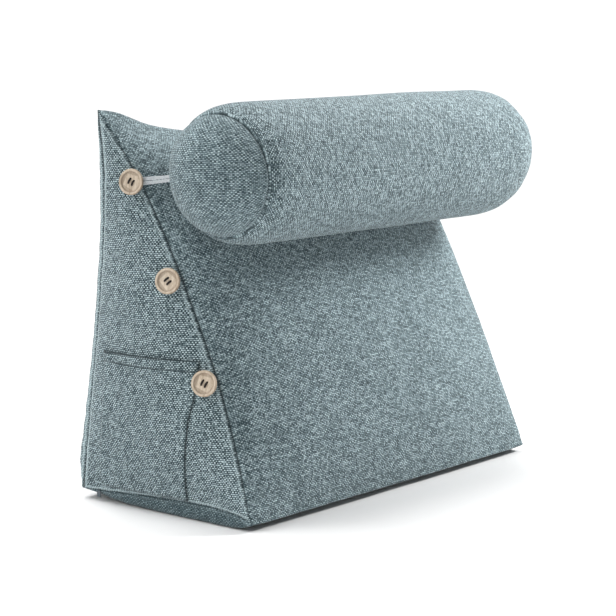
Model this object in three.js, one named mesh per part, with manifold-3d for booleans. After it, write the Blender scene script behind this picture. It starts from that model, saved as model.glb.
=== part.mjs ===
// A filled wedge pillow: a tall stuffed wedge with a sloping front, a stuffed neck roll lying
// across the top of the slope, wooden buttons down the side seams, elastic loops from the roll's
// ends to the top buttons, and a patch pocket on one side panel.
// Millimetres. X runs across the pillow, the slope faces -Y, Z is up and the floor is z = 0.
import * as THREE from 'three';
import { mergeVertices } from 'three/addons/utils/BufferGeometryUtils.js';
import Module from 'manifold-3d';

const wasm = await Module();
wasm.setup();

// Driving dimensions of the wedge
const CUSHION_WIDTH = 600; // between the side panels' corners
const EAR_HEIGHT = 505; // tip of the pointed top corners
const FRONT_Y = -149; // the front corners
const BASE_DEPTH = 293; // between the front and rear corners
const RIDGE_SETBACK = 38; // the ridge stands this far in front of the rear corners
const FRONT_LIFT = 8; // the stuffed base holds its corners off the floor
const REAR_LIFT = 12;

// The neck roll
const ROLL_RADIUS = 89;
const ROLL_SEAM_SPAN = 560; // between the two end seams
const ROLL_SEAM_SHARE = 0.84; // an end seam's radius, as a share of the roll's
const ROLL_SHOULDER = 52; // length over which the body narrows to the end seam
const ROLL_DOME = 47; // how far the end cap swells past its seam
const ROLL_END_LEAN = 9; // the top of an end seam stands out this far past its middle
const ROLL_AXIS_Y = -87;
const ROLL_AXIS_Z = 430;
const NAP_GAP = 1.5; // the slope is pressed in this far clear of the roll

// Mesh fineness
const SEAM_STEPS = 20; // along each seam of a side panel
const WIDTH_STEPS = 26; // along each seam that runs across the width
const ROLL_SIDES = 44;
const EVEN_SHARE = 0.2; // the rest of the spacing crowds towards the seams

// The corners of a side panel, seen from the side
const CORNERS = {
  front: { y: FRONT_Y, z: FRONT_LIFT },
  rear: { y: FRONT_Y + BASE_DEPTH, z: REAR_LIFT },
  ear: { y: FRONT_Y + BASE_DEPTH - RIDGE_SETBACK, z: EAR_HEIGHT },
};

// A side panel's seams: each bows outwards in the panel's own plane and is drawn in along X.
const SIDE_SEAMS = {
  front: { from: 'front', to: 'ear', outward: 18, drawnIn: 19, peak: 0.54, fullness: 2.6 },
  back: { from: 'rear', to: 'ear', outward: -2, drawnIn: 18, peak: 0.6, fullness: 2.2 },
  base: { from: 'front', to: 'rear', outward: -12, drawnIn: 4, peak: 0.27, fullness: 1.8 },
};

// The seams across the width: each bows forwards and rises or sags at the middle.
const WIDTH_SEAMS = {
  ridge: { corner: 'ear', forward: 0, rise: -40, fullness: 2.1 },
  frontHem: { corner: 'front', forward: 2, rise: -1, fullness: 2.4 },
  rearHem: { corner: 'rear', forward: -4, rise: -8, fullness: 2.4 },
};

// The stuffed panels: how far each stands out at its middle, and the powers that round its
// crown off towards the side seams and towards the seams across the width.
const PANELS = {
  slope: { bottom: 'frontHem', top: 'ridge', edge: 'front', crown: 59, sides: 0.52, ends: 0.75 },
  back: { bottom: 'rearHem', top: 'ridge', edge: 'back', crown: 46, sides: 0.42, ends: 0.42 },
  base: { bottom: 'frontHem', top: 'rearHem', edge: 'base', crown: 60, sides: 0.35, ends: 1.5 },
};
const SIDE_CROWN = 26;
const SIDE_POWER = 0.6;

// The filled base swells out sideways under its side seams, fullest towards the front.
const BASE_SPREAD = 15;
const BASE_SPREAD_PEAK = 0.26;
const BASE_SIDE_POWER = 0.8;

// Wooden buttons, by their distance from the front seam on each side and by how high they sit,
// from the base seam (0) to the ear (1). Some stand off on what lies under them.
const BUTTON_RADIUS = 17;
const BUTTON_THICKNESS = 4.4;
const BUTTON_RIM = 3; // width of the raised rim
const BUTTON_DISH = 1.2; // depth of the face inside the rim
const BUTTON_HOLE_RADIUS = 1.5;
const BUTTON_HOLE_SPACING = 6;
const BUTTON_SIDES = 28;
const SEWN_GAP = 0.4; // between a sewn piece and the cloth under it
const STRAND_THICKNESS = 1.6; // of the elastic loops
const POCKET_THICKNESS = 1.4;
const BUTTONS = [
  { name: 'top', left: 8, right: 22, up: 0.808, underLeft: STRAND_THICKNESS, underRight: STRAND_THICKNESS },
  { name: 'middle', left: 15, right: 28, up: 0.56, underLeft: 0, underRight: 0 },
  { name: 'bottom', left: 14, right: 27, up: 0.313, underLeft: POCKET_THICKNESS, underRight: 0 },
];

// The elastic loops: a strand from the roll's end seam, round the top button's thread and back
const STRAND_WIDTH = 3.4;
const LOOP_RADIUS = 3.7; // middle of the strand, round the button's thread
const LOOP_END_HALF = 1.95; // the strands lie side by side where they enter the end seam
const LOOP_STEPS = 8; // along a strand, and round the turn

// The patch pocket on the side panel at -X, by share from the back seam to the front seam
const POCKET = { rear: 0.17, frontAtBase: 0.66, frontAtMouth: 0.93, bottom: 0.012, mouth: 0.365 };
const HEM_THICKNESS = 2.4; // of its folded hem
const HEM_SHARE = 0.93; // the hem starts this far up the pocket
const POCKET_GAPE = 2.6; // how far the mouth stands open at its middle
const POCKET_COLUMNS = 12;
const POCKET_ROWS = 12;

// The zip's pull tab, hanging under the base seam near the rear corner at -X
const PULL = { along: 0.885, width: 6, height: 8, thickness: 1.4, drop: 9 };

const CLOTH_COLOUR = 0x788a8f;
const POCKET_COLOUR = 0x738388;
const WOOD_COLOUR = 0xcdb9a0;
const ELASTIC_COLOUR = 0xb4bbbe;
const ZIP_COLOUR = 0x48545c;

const LEFT = -1;
const RIGHT = 1;

function material(colour, roughness) {
  return new THREE.MeshStandardMaterial({ color: colour, roughness, metalness: 0 });
}

// A bow is 0 at both ends of a seam and 1 at its peak; fullness squares it off.
function bow(t, peak, fullness) {
  const skewed = Math.pow(t, Math.log(0.5) / Math.log(peak));
  return 1 - Math.pow(Math.abs(2 * skewed - 1), fullness);
}

// Steps along a seam, closer together near its ends, where the cloth turns most.
function spaced(share) {
  const crowded = 0.5 - 0.5 * Math.cos(Math.PI * share);
  return EVEN_SHARE * share + (1 - EVEN_SHARE) * crowded;
}

function cornerPoint(side, name) {
  const { y, z } = CORNERS[name];
  return new THREE.Vector3((side * CUSHION_WIDTH) / 2, y, z);
}

// The direction in the side panel's plane that leads away from the panel, across a chord.
function outwardAcross(from, to) {
  const normal = new THREE.Vector3(0, to.z - from.z, from.y - to.y).normalize();
  const middle = from.clone().add(to).multiplyScalar(0.5);
  const names = Object.keys(CORNERS);
  const centre = new THREE.Vector3(from.x, 0, 0);
  for (const name of names) {
    centre.y += CORNERS[name].y / names.length;
    centre.z += CORNERS[name].z / names.length;
  }
  return normal.dot(middle.sub(centre)) < 0 ? normal.negate() : normal;
}

// How far a side panel's seam stands off its straight chord.
function sideSeamOffset(side, seamName, t) {
  const seam = SIDE_SEAMS[seamName];
  const from = cornerPoint(side, seam.from);
  const to = cornerPoint(side, seam.to);
  const share = bow(t, seam.peak, seam.fullness);
  const offset = outwardAcross(from, to).multiplyScalar(seam.outward * share);
  offset.x -= side * seam.drawnIn * share;
  return offset;
}

function sideSeamPoint(side, seamName, t) {
  const seam = SIDE_SEAMS[seamName];
  const chord = cornerPoint(side, seam.from).lerp(cornerPoint(side, seam.to), t);
  return chord.add(sideSeamOffset(side, seamName, t));
}

function widthSeamPoint(seamName, u) {
  const seam = WIDTH_SEAMS[seamName];
  const share = bow(u, 0.5, seam.fullness);
  const point = cornerPoint(LEFT, seam.corner).lerp(cornerPoint(RIGHT, seam.corner), u);
  point.y -= seam.forward * share;
  point.z += seam.rise * share;
  return point;
}

// A point inside a side panel, from its three corner weights, which add up to 1.
function sidePanelPoint(side, front, ear, rear) {
  const weights = { front, ear, rear };
  const point = new THREE.Vector3();
  for (const name of Object.keys(CORNERS)) {
    point.addScaledVector(cornerPoint(side, name), weights[name]);
  }
  for (const seamName of Object.keys(SIDE_SEAMS)) {
    const { from, to } = SIDE_SEAMS[seamName];
    const pair = weights[from] + weights[to];
    const t = pair > 0 ? weights[to] / pair : 0.5;
    point.addScaledVector(sideSeamOffset(side, seamName, t), pair * pair);
  }
  point.x += side * SIDE_CROWN * Math.pow(27 * front * ear * rear, SIDE_POWER);
  return point;
}

// The same panel by share along from the back seam to the front seam, and share up.
function sideSurface(side, along, up) {
  return sidePanelPoint(side, (1 - up) * along, up, (1 - up) * (1 - along));
}

function sideNormal(side, along, up) {
  const step = 0.01;
  const a = sideSurface(side, along + step, up).sub(sideSurface(side, along - step, up));
  const b = sideSurface(side, along, up + step).sub(sideSurface(side, along, up - step));
  const normal = a.cross(b).normalize();
  return normal.x * side < 0 ? normal.negate() : normal;
}

// The roll's radius at a distance from its middle, and how the slope is pressed in by it.
function rollRadiusAt(distance) {
  const seamRadius = ROLL_RADIUS * ROLL_SEAM_SHARE;
  const past = distance - ROLL_SEAM_SPAN / 2;
  if (past > 0) {
    const share = Math.min(past / ROLL_DOME, 1);
    return seamRadius * Math.sqrt(1 - share * share);
  }
  const fall = Math.max(0, 1 + past / ROLL_SHOULDER);
  return seamRadius + (ROLL_RADIUS - seamRadius) * Math.sqrt(1 - fall * fall);
}

function pressedByRoll(point) {
  const reach = rollRadiusAt(Math.abs(point.x)) + NAP_GAP;
  const dy = point.y - ROLL_AXIS_Y;
  const dz = point.z - ROLL_AXIS_Z;
  const distance = Math.hypot(dy, dz);
  if (distance < reach) {
    point.y = ROLL_AXIS_Y + (dy * reach) / distance;
    point.z = ROLL_AXIS_Z + (dz * reach) / distance;
  }
  return point;
}

// A four-sided panel blended between its four seams, with its crown along a fixed direction.
function panelPoint(panel, direction, u, v) {
  const bottom = widthSeamPoint(panel.bottom, u).multiplyScalar(1 - v);
  const top = widthSeamPoint(panel.top, u).multiplyScalar(v);
  const left = sideSeamPoint(LEFT, panel.edge, v).multiplyScalar(1 - u);
  const right = sideSeamPoint(RIGHT, panel.edge, v).multiplyScalar(u);
  const point = bottom.add(top).add(left).add(right);
  point.addScaledVector(widthSeamPoint(panel.bottom, 0), -(1 - u) * (1 - v));
  point.addScaledVector(widthSeamPoint(panel.bottom, 1), -u * (1 - v));
  point.addScaledVector(widthSeamPoint(panel.top, 0), -(1 - u) * v);
  point.addScaledVector(widthSeamPoint(panel.top, 1), -u * v);
  const swell = Math.pow(4 * u * (1 - u), panel.sides) * Math.pow(4 * v * (1 - v), panel.ends);
  return point.addScaledVector(direction, panel.crown * swell);
}

// The base drops at once under its side seams and gently behind the front hem, and it swells
// out sideways just under the side seams, less and less further in.
function basePoint(panel, direction, u, v) {
  const flat = panelPoint({ ...panel, crown: 0 }, direction, u, v);
  const inward = Math.min(u, 1 - u) * 2;
  const middleness = Math.pow(inward, panel.sides);
  const skewed = Math.pow(v, Math.log(0.5) / Math.log(BASE_SPREAD_PEAK));
  const along = THREE.MathUtils.lerp(skewed, v, middleness);
  const power = THREE.MathUtils.lerp(BASE_SIDE_POWER, panel.ends, middleness);
  const drop = Math.pow(inward * (2 - inward), panel.sides) * Math.pow(4 * along * (1 - along), power);
  const near = Math.pow(inward, 0.18);
  const spread = 4 * near * (1 - near) * Math.sqrt(4 * skewed * (1 - skewed));
  flat.x += (u < 0.5 ? LEFT : RIGHT) * BASE_SPREAD * spread;
  return flat.addScaledVector(direction, panel.crown * drop);
}

function crownDirection(panel) {
  const from = cornerPoint(LEFT, WIDTH_SEAMS[panel.bottom].corner);
  const to = cornerPoint(LEFT, WIDTH_SEAMS[panel.top].corner);
  return outwardAcross(from, to);
}

// Collects panels of triangles, each panel turned so that it faces away from the inside.
class Skin {
  constructor(inside) {
    this.inside = inside;
    this.positions = [];
  }

  addPanel(triangles) {
    let facing = 0;
    for (const [a, b, c] of triangles) {
      const normal = b.clone().sub(a).cross(c.clone().sub(a));
      facing += normal.dot(a.clone().sub(this.inside));
    }
    for (const [a, b, c] of triangles) {
      const ordered = facing > 0 ? [a, b, c] : [a, c, b];
      ordered.forEach((point) => this.positions.push(point.x, point.y, point.z));
    }
  }

  geometry() {
    const loose = new THREE.BufferGeometry();
    loose.setAttribute('position', new THREE.Float32BufferAttribute(this.positions, 3));
    return mergeVertices(loose, 0.01);
  }
}

function addQuadPanel(skin, panel, surface, finish) {
  const direction = crownDirection(panel);
  const rows = [];
  for (let j = 0; j <= SEAM_STEPS; j += 1) {
    const row = [];
    for (let i = 0; i <= WIDTH_STEPS; i += 1) {
      const u = spaced(i / WIDTH_STEPS);
      const v = spaced(j / SEAM_STEPS);
      row.push(finish(surface(panel, direction, u, v)));
    }
    rows.push(row);
  }
  const triangles = [];
  for (let j = 0; j < SEAM_STEPS; j += 1) {
    for (let i = 0; i < WIDTH_STEPS; i += 1) {
      triangles.push([rows[j][i], rows[j][i + 1], rows[j + 1][i + 1]]);
      triangles.push([rows[j][i], rows[j + 1][i + 1], rows[j + 1][i]]);
    }
  }
  skin.addPanel(triangles);
}

function addSidePanel(skin, side, finish) {
  const node = (i, j) => {
    const front = spaced(i / SEAM_STEPS);
    const ear = spaced(j / SEAM_STEPS);
    const rear = spaced((SEAM_STEPS - i - j) / SEAM_STEPS);
    const sum = front + ear + rear;
    return finish(sidePanelPoint(side, front / sum, ear / sum, rear / sum));
  };
  const triangles = [];
  for (let i = 0; i < SEAM_STEPS; i += 1) {
    for (let j = 0; j < SEAM_STEPS - i; j += 1) {
      triangles.push([node(i, j), node(i + 1, j), node(i, j + 1)]);
      if (i + j < SEAM_STEPS - 1) {
        triangles.push([node(i + 1, j), node(i + 1, j + 1), node(i, j + 1)]);
      }
    }
  }
  skin.addPanel(triangles);
}

// The stuffed wedge: five panels that share their seams, flat where it stands on the floor.
function wedgeCushion() {
  const skin = new Skin(new THREE.Vector3(0, 0, EAR_HEIGHT / 4));
  const settled = (point) => {
    point.z = Math.max(point.z, 0);
    return pressedByRoll(point);
  };
  addQuadPanel(skin, PANELS.slope, panelPoint, settled);
  addQuadPanel(skin, PANELS.back, panelPoint, settled);
  addQuadPanel(skin, PANELS.base, basePoint, settled);
  addSidePanel(skin, LEFT, settled);
  addSidePanel(skin, RIGHT, settled);
  return skin.geometry();
}

// The neck roll's outline, from the middle of one end cap to the middle of the other
function rollProfile() {
  const half = ROLL_SEAM_SPAN / 2;
  const steps = [];
  const capSteps = 6;
  for (let i = 0; i < capSteps; i += 1) {
    steps.push(half + ROLL_DOME * Math.cos((Math.PI / 2) * (i / capSteps)));
  }
  const shoulderSteps = 5;
  for (let i = 0; i <= shoulderSteps; i += 1) {
    steps.push(half - ROLL_SHOULDER * (1 - Math.cos((Math.PI / 2) * (i / shoulderSteps))));
  }
  steps.push(half * 0.45);
  const end = steps.map((x) => new THREE.Vector2(rollRadiusAt(x), x));
  const otherEnd = end.map((point) => new THREE.Vector2(point.x, -point.y)).reverse();
  return [...end, ...otherEnd];
}

function neckRoll() {
  const geometry = new THREE.LatheGeometry(rollProfile().reverse(), ROLL_SIDES);
  geometry.deleteAttribute('normal');
  geometry.deleteAttribute('uv');
  return leanRollEnds(mergeVertices(geometry, 0.01));
}

// The ends of the roll lean: their tops stand out further than their middles.
function leanRollEnds(geometry) {
  const position = geometry.attributes.position;
  for (let i = 0; i < position.count; i += 1) {
    const axial = position.getY(i);
    const height = position.getZ(i) / ROLL_RADIUS;
    const start = ROLL_SEAM_SPAN / 2 - 2 * ROLL_SHOULDER;
    const weight = THREE.MathUtils.clamp((Math.abs(axial) - start) / (2 * ROLL_SHOULDER), 0, 1);
    position.setY(i, axial + Math.sign(axial) * ROLL_END_LEAN * Math.max(0, height) * weight);
  }
  return geometry;
}

// A button is turned about Y, face up, then drilled with four thread holes.
function buttonBlank() {
  const inner = BUTTON_RADIUS - BUTTON_RIM;
  const profile = [
    new THREE.Vector2(0, 0),
    new THREE.Vector2(BUTTON_RADIUS - 2.2, 0),
    new THREE.Vector2(BUTTON_RADIUS, BUTTON_THICKNESS * 0.5),
    new THREE.Vector2(BUTTON_RADIUS - 1, BUTTON_THICKNESS),
    new THREE.Vector2(inner + 0.6, BUTTON_THICKNESS),
    new THREE.Vector2(inner - 1, BUTTON_THICKNESS - BUTTON_DISH),
    new THREE.Vector2(0, BUTTON_THICKNESS - BUTTON_DISH),
  ];
  return new THREE.LatheGeometry(profile, BUTTON_SIDES);
}

function asSolid(geometry) {
  const bare = geometry.clone();
  bare.deleteAttribute('normal');
  bare.deleteAttribute('uv');
  const merged = mergeVertices(bare, 1e-4);
  const vertProperties = new Float32Array(merged.attributes.position.array);
  const triVerts = new Uint32Array(merged.index.array);
  return new wasm.Manifold(new wasm.Mesh({ numProp: 3, vertProperties, triVerts }));
}

function fromSolid(solid) {
  const mesh = solid.getMesh();
  const geometry = new THREE.BufferGeometry();
  geometry.setAttribute('position', new THREE.BufferAttribute(mesh.vertProperties, 3));
  geometry.setIndex(new THREE.BufferAttribute(mesh.triVerts, 1));
  return geometry;
}

function buttonGeometry() {
  let solid = asSolid(buttonBlank());
  for (const sx of [-1, 1]) {
    for (const sz of [-1, 1]) {
      const hole = new THREE.CylinderGeometry(
        BUTTON_HOLE_RADIUS, BUTTON_HOLE_RADIUS, BUTTON_THICKNESS * 4, 10);
      hole.translate((sx * BUTTON_HOLE_SPACING) / 2, 0, (sz * BUTTON_HOLE_SPACING) / 2);
      solid = solid.subtract(asSolid(hole));
    }
  }
  return fromSolid(solid);
}

// Where a button sits: its point on the side panel and the panel's normal there
function buttonSeat(side, place) {
  const inset = side === LEFT ? place.left : place.right;
  const width = sideSurface(side, 0, place.up).distanceTo(sideSurface(side, 1, place.up));
  const along = 1 - inset / width;
  return {
    point: sideSurface(side, along, place.up),
    normal: sideNormal(side, along, place.up),
  };
}

function placeButton(mesh, side, place) {
  const { point, normal } = buttonSeat(side, place);
  const under = side === LEFT ? place.underLeft : place.underRight;
  const standOff = under > 0 ? under + 2 * SEWN_GAP : SEWN_GAP;
  mesh.quaternion.setFromUnitVectors(new THREE.Vector3(0, 1, 0), normal);
  mesh.position.copy(point).addScaledVector(normal, standOff);
}

// Joins a row of flat closed rings into one solid. A ring runs out along one face of a strip
// and back along the other, so each end is shut by quads between its two facing halves.
function stripSolid(rings) {
  const skin = [];
  const push = (...points) => points.forEach((point) => skin.push(point.x, point.y, point.z));
  const count = rings[0].length;
  for (let k = 0; k < rings.length - 1; k += 1) {
    for (let i = 0; i < count; i += 1) {
      const j = (i + 1) % count;
      push(rings[k][i], rings[k][j], rings[k + 1][j]);
      push(rings[k][i], rings[k + 1][j], rings[k + 1][i]);
    }
  }
  const first = rings[0];
  const last = rings[rings.length - 1];
  for (let i = 0; i < count / 2 - 1; i += 1) {
    const far = count - 1 - i;
    push(first[i], first[far], first[far - 1]);
    push(first[i], first[far - 1], first[i + 1]);
    push(last[i], last[i + 1], last[far - 1]);
    push(last[i], last[far - 1], last[far]);
  }
  const loose = new THREE.BufferGeometry();
  loose.setAttribute('position', new THREE.Float32BufferAttribute(skin, 3));
  return facingOut(mergeVertices(loose, 1e-3));
}

function signedVolume(geometry) {
  const position = geometry.attributes.position;
  const index = geometry.index.array;
  const corner = (i) => new THREE.Vector3().fromBufferAttribute(position, index[i]);
  let volume = 0;
  for (let i = 0; i < index.length; i += 3) {
    volume += corner(i).dot(corner(i + 1).cross(corner(i + 2))) / 6;
  }
  return volume;
}

function facingOut(geometry) {
  if (signedVolume(geometry) < 0) {
    const index = geometry.index.array;
    for (let i = 0; i < index.length; i += 3) {
      [index[i + 1], index[i + 2]] = [index[i + 2], index[i + 1]];
    }
  }
  return geometry;
}

// The rear of the roll's end seam, where the loop is sewn in
function loopAnchor(side) {
  const seamRadius = ROLL_RADIUS * ROLL_SEAM_SHARE;
  const half = ROLL_SEAM_SPAN / 2;
  return new THREE.Vector3(side * (half + 2), ROLL_AXIS_Y + seamRadius, ROLL_AXIS_Z - 6);
}

// The middle line of a loop: it leaves the button in the panel's plane and bends to the roll.
function loopLine(side) {
  const { point, normal } = buttonSeat(side, BUTTONS[0]);
  const lift = SEWN_GAP + STRAND_THICKNESS / 2;
  const start = point.clone().addScaledVector(normal, lift);
  const end = loopAnchor(side);
  const towards = end.clone().sub(start);
  const flat = towards.clone().addScaledVector(normal, -towards.dot(normal));
  const underButton = start.clone().addScaledVector(flat, 0.35);
  const pastButton = start.clone().addScaledVector(flat, 0.7);
  return { curve: new THREE.CubicBezierCurve3(start, underButton, pastButton, end), normal };
}

// One station of the strand: a flat rectangle across the direction in which the strand runs
function strandRing(centre, across, normal) {
  const ring = [];
  for (const [w, n] of [[-1, -1], [1, -1], [1, 1], [-1, 1]]) {
    ring.push(centre.clone()
      .addScaledVector(across, (w * STRAND_WIDTH) / 2)
      .addScaledVector(normal, (n * STRAND_THICKNESS) / 2));
  }
  return ring;
}

function elasticLoop(side) {
  const { curve, normal } = loopLine(side);
  const rings = [];
  const frameAt = (t) => {
    const tangent = curve.getTangent(t);
    const across = new THREE.Vector3().crossVectors(tangent, normal).normalize();
    return { centre: curve.getPoint(t), tangent, across, up: across.clone().cross(tangent) };
  };
  const strand = (sign, order) => {
    for (const t of order) {
      const { centre, across, up } = frameAt(t);
      const half = THREE.MathUtils.lerp(LOOP_RADIUS, LOOP_END_HALF, t);
      centre.addScaledVector(across, sign * half);
      rings.push(strandRing(centre, across.clone().multiplyScalar(sign), up));
    }
  };
  const outward = Array.from({ length: LOOP_STEPS + 1 }, (_, i) => i / LOOP_STEPS);
  strand(1, [...outward].reverse());
  const { centre, tangent, across, up } = frameAt(0);
  for (let i = 1; i < LOOP_STEPS; i += 1) {
    const angle = (Math.PI * i) / LOOP_STEPS;
    const radial = across.clone().multiplyScalar(Math.cos(angle));
    radial.addScaledVector(tangent, -Math.sin(angle));
    rings.push(strandRing(centre.clone().addScaledVector(radial, LOOP_RADIUS), radial, up));
  }
  strand(-1, outward);
  return stripSolid(rings);
}

// The pocket's cloth: a sheet that follows the side panel and gapes a little at its mouth
function pocketPoint(column, row, depthShare) {
  const { rear, frontAtBase, frontAtMouth, bottom, mouth } = POCKET;
  const front = THREE.MathUtils.lerp(frontAtBase, frontAtMouth, row);
  const along = THREE.MathUtils.lerp(rear, front, column);
  const up = THREE.MathUtils.lerp(bottom, mouth, row);
  const point = sideSurface(LEFT, along, up);
  const normal = sideNormal(LEFT, along, up);
  const gape = POCKET_GAPE * Math.pow(row, 5) * Math.pow(4 * column * (1 - column), 0.7);
  const thickness = row > HEM_SHARE ? HEM_THICKNESS : POCKET_THICKNESS;
  return point.addScaledVector(normal, SEWN_GAP + gape + thickness * depthShare);
}

function sidePocket() {
  const rings = [];
  const columns = Array.from({ length: POCKET_COLUMNS + 1 }, (_, i) => spaced(i / POCKET_COLUMNS));
  const rows = Array.from({ length: POCKET_ROWS + 1 }, (_, i) => spaced(i / POCKET_ROWS));
  for (const row of rows) {
    const inner = columns.map((column) => pocketPoint(column, row, 0));
    const outer = columns.map((column) => pocketPoint(column, row, 1)).reverse();
    rings.push([...inner, ...outer]);
  }
  return stripSolid(rings);
}

// The pull tab: a small flat plate with round corners
function zipPull() {
  const { width, height, thickness } = PULL;
  const corner = 1.2;
  const shape = new THREE.Shape();
  shape.moveTo(-width / 2 + corner, -height / 2);
  shape.lineTo(width / 2 - corner, -height / 2);
  shape.lineTo(width / 2, -height / 2 + corner);
  shape.lineTo(width / 2, height / 2);
  shape.lineTo(-width / 2, height / 2);
  shape.lineTo(-width / 2, -height / 2 + corner);
  shape.closePath();
  const geometry = new THREE.ExtrudeGeometry(shape, { depth: thickness, bevelEnabled: false });
  geometry.translate(0, 0, -thickness / 2);
  return geometry;
}

function placeZipPull(mesh) {
  const direction = crownDirection(PANELS.base);
  const seam = sideSeamPoint(LEFT, 'base', PULL.along);
  const swellX = [0.01, 0.02, 0.04].map((u) => basePoint(PANELS.base, direction, u, PULL.along).x);
  const outermost = Math.min(seam.x, ...swellX) - SEWN_GAP - PULL.thickness / 2;
  mesh.rotation.set(Math.PI / 2, Math.PI / 2, 0);
  mesh.position.set(outermost, seam.y, Math.max(seam.z - PULL.drop / 2, PULL.height / 2 + 1));
}

const part = new THREE.Group();

function addPiece(name, geometry, colour, roughness) {
  const mesh = new THREE.Mesh(geometry, material(colour, roughness));
  mesh.name = name;
  part.add(mesh);
  return mesh;
}

addPiece('wedge_cushion', wedgeCushion(), CLOTH_COLOUR, 0.95);

const roll = addPiece('neck_roll', neckRoll(), CLOTH_COLOUR, 0.95);
roll.rotation.z = -Math.PI / 2;
roll.position.set(0, ROLL_AXIS_Y, ROLL_AXIS_Z);

addPiece('side_pocket', sidePocket(), POCKET_COLOUR, 0.95);

for (const [side, word] of [[LEFT, 'left'], [RIGHT, 'right']]) {
  for (const place of BUTTONS) {
    placeButton(addPiece(`button_${word}_${place.name}`, buttonGeometry(), WOOD_COLOUR, 0.6), side, place);
  }
  addPiece(`elastic_loop_${word}`, elasticLoop(side), ELASTIC_COLOUR, 0.85);
}

placeZipPull(addPiece('zip_pull', zipPull(), ZIP_COLOUR, 0.5));

export default part;
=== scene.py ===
# %% [markdown]
# # A wedge pillow with a neck roll
# A reading pillow is a tall stuffed wedge with a sloping front. A stuffed roll lies across the
# top of the slope for the neck. Elastic loops hold it to wooden buttons down the side seams,
# and a patch pocket is sewn on one side.
# We load the measured frame first, because every piece that we make has to fit it.

# %% Load the measured frame
import math
from contextlib import contextmanager

import bpy
import bmesh
import numpy as np
from mathutils import Matrix, Vector, kdtree, noise
from mathutils.bvhtree import BVHTree


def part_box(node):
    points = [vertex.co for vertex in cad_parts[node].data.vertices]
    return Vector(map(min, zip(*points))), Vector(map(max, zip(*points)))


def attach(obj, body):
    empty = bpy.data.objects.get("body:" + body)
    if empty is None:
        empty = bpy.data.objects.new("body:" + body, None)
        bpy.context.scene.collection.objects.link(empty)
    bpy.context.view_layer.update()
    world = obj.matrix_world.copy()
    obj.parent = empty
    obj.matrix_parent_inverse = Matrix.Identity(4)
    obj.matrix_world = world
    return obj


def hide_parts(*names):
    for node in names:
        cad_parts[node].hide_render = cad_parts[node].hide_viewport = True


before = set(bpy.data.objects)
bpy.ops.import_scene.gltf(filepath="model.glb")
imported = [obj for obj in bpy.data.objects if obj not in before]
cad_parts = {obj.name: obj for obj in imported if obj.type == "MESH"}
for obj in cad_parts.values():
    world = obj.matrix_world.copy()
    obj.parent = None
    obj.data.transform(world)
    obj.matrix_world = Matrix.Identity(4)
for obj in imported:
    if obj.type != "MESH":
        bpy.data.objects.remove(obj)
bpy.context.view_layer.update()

# %% [markdown]
# ## The camera
# A product photograph is taken from far away with a long lens, so that near and far corners
# look alike in size. The camera stands in front of the pocket's side, a little above it.

# %% Camera
CAMERA_PLACE = Vector((-2.0969, -1.7084, 0.6277))
CAMERA_YAW = math.radians(-50.7)
CAMERA_PITCH = math.radians(8.4)
CAMERA_LENS = 117.75
CAMERA_SENSOR = 36.0


def looking_back(yaw, pitch):
    """The direction from the subject to the camera."""
    return Vector((math.sin(yaw) * math.cos(pitch), -math.cos(yaw) * math.cos(pitch), math.sin(pitch)))


bpy.ops.object.camera_add(location=CAMERA_PLACE)
camera = bpy.context.object
camera.name = "photo_camera"
camera.data.lens = CAMERA_LENS
camera.data.sensor_width = CAMERA_SENSOR
camera.rotation_euler = (-looking_back(CAMERA_YAW, CAMERA_PITCH)).to_track_quat("-Z", "Y").to_euler()
bpy.context.scene.camera = camera
print("camera at", [round(c, 3) for c in camera.location], "lens", CAMERA_LENS)

# %% [markdown]
# ## Floor and light
# The pillow stands on a pale floor. A very wide sheet that curves up far away hides the horizon.
# A soft lamp stands at the front right, nearer to the far end of the pillow than to its near
# end, so the slope grows paler towards the far end. A wide sun from above and behind brightens
# the roll's top. A second one comes from behind the near side, so that it lights the side panel
# but leaves the slope beside the roll in the shade. The pale room fills the rest.

# %% Pale floor
FLOOR_RADIUS = 12.0
RIM_RADIUS = 32.0
RIM_HEIGHT = 8.0
RIM_STEPS = 8
FLOOR_COLOUR = (0.76, 0.76, 0.76, 1)
FLOOR_ROUGHNESS = 0.8


def deselect_all():
    if bpy.context.object and bpy.context.object.mode != "OBJECT":
        bpy.ops.object.mode_set(mode="OBJECT")
    bpy.ops.object.select_all(action="DESELECT")


def make_active(piece):
    deselect_all()
    piece.select_set(True)
    bpy.context.view_layer.objects.active = piece


@contextmanager
def editing(kind=None):
    """Edit mode for the lines inside. A kind sets whether points, edges or faces are selected."""
    bpy.ops.object.mode_set(mode="EDIT")
    if kind:
        bpy.ops.mesh.select_mode(type=kind)
    yield
    bpy.ops.object.mode_set(mode="OBJECT")


def plain_finish(name, colour, roughness):
    finish = bpy.data.materials.new(name)
    finish.use_nodes = True
    shader = finish.node_tree.nodes["Principled BSDF"]
    shader.inputs["Base Color"].default_value = colour
    shader.inputs["Roughness"].default_value = roughness
    return finish


def rim_place(step):
    """How far out and how high the floor's curved rim is after this many steps."""
    angle = step / RIM_STEPS * math.pi / 2
    out = FLOOR_RADIUS + (RIM_RADIUS - FLOOR_RADIUS) * math.sin(angle)
    return out, RIM_HEIGHT * (1 - math.cos(angle))


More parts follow.
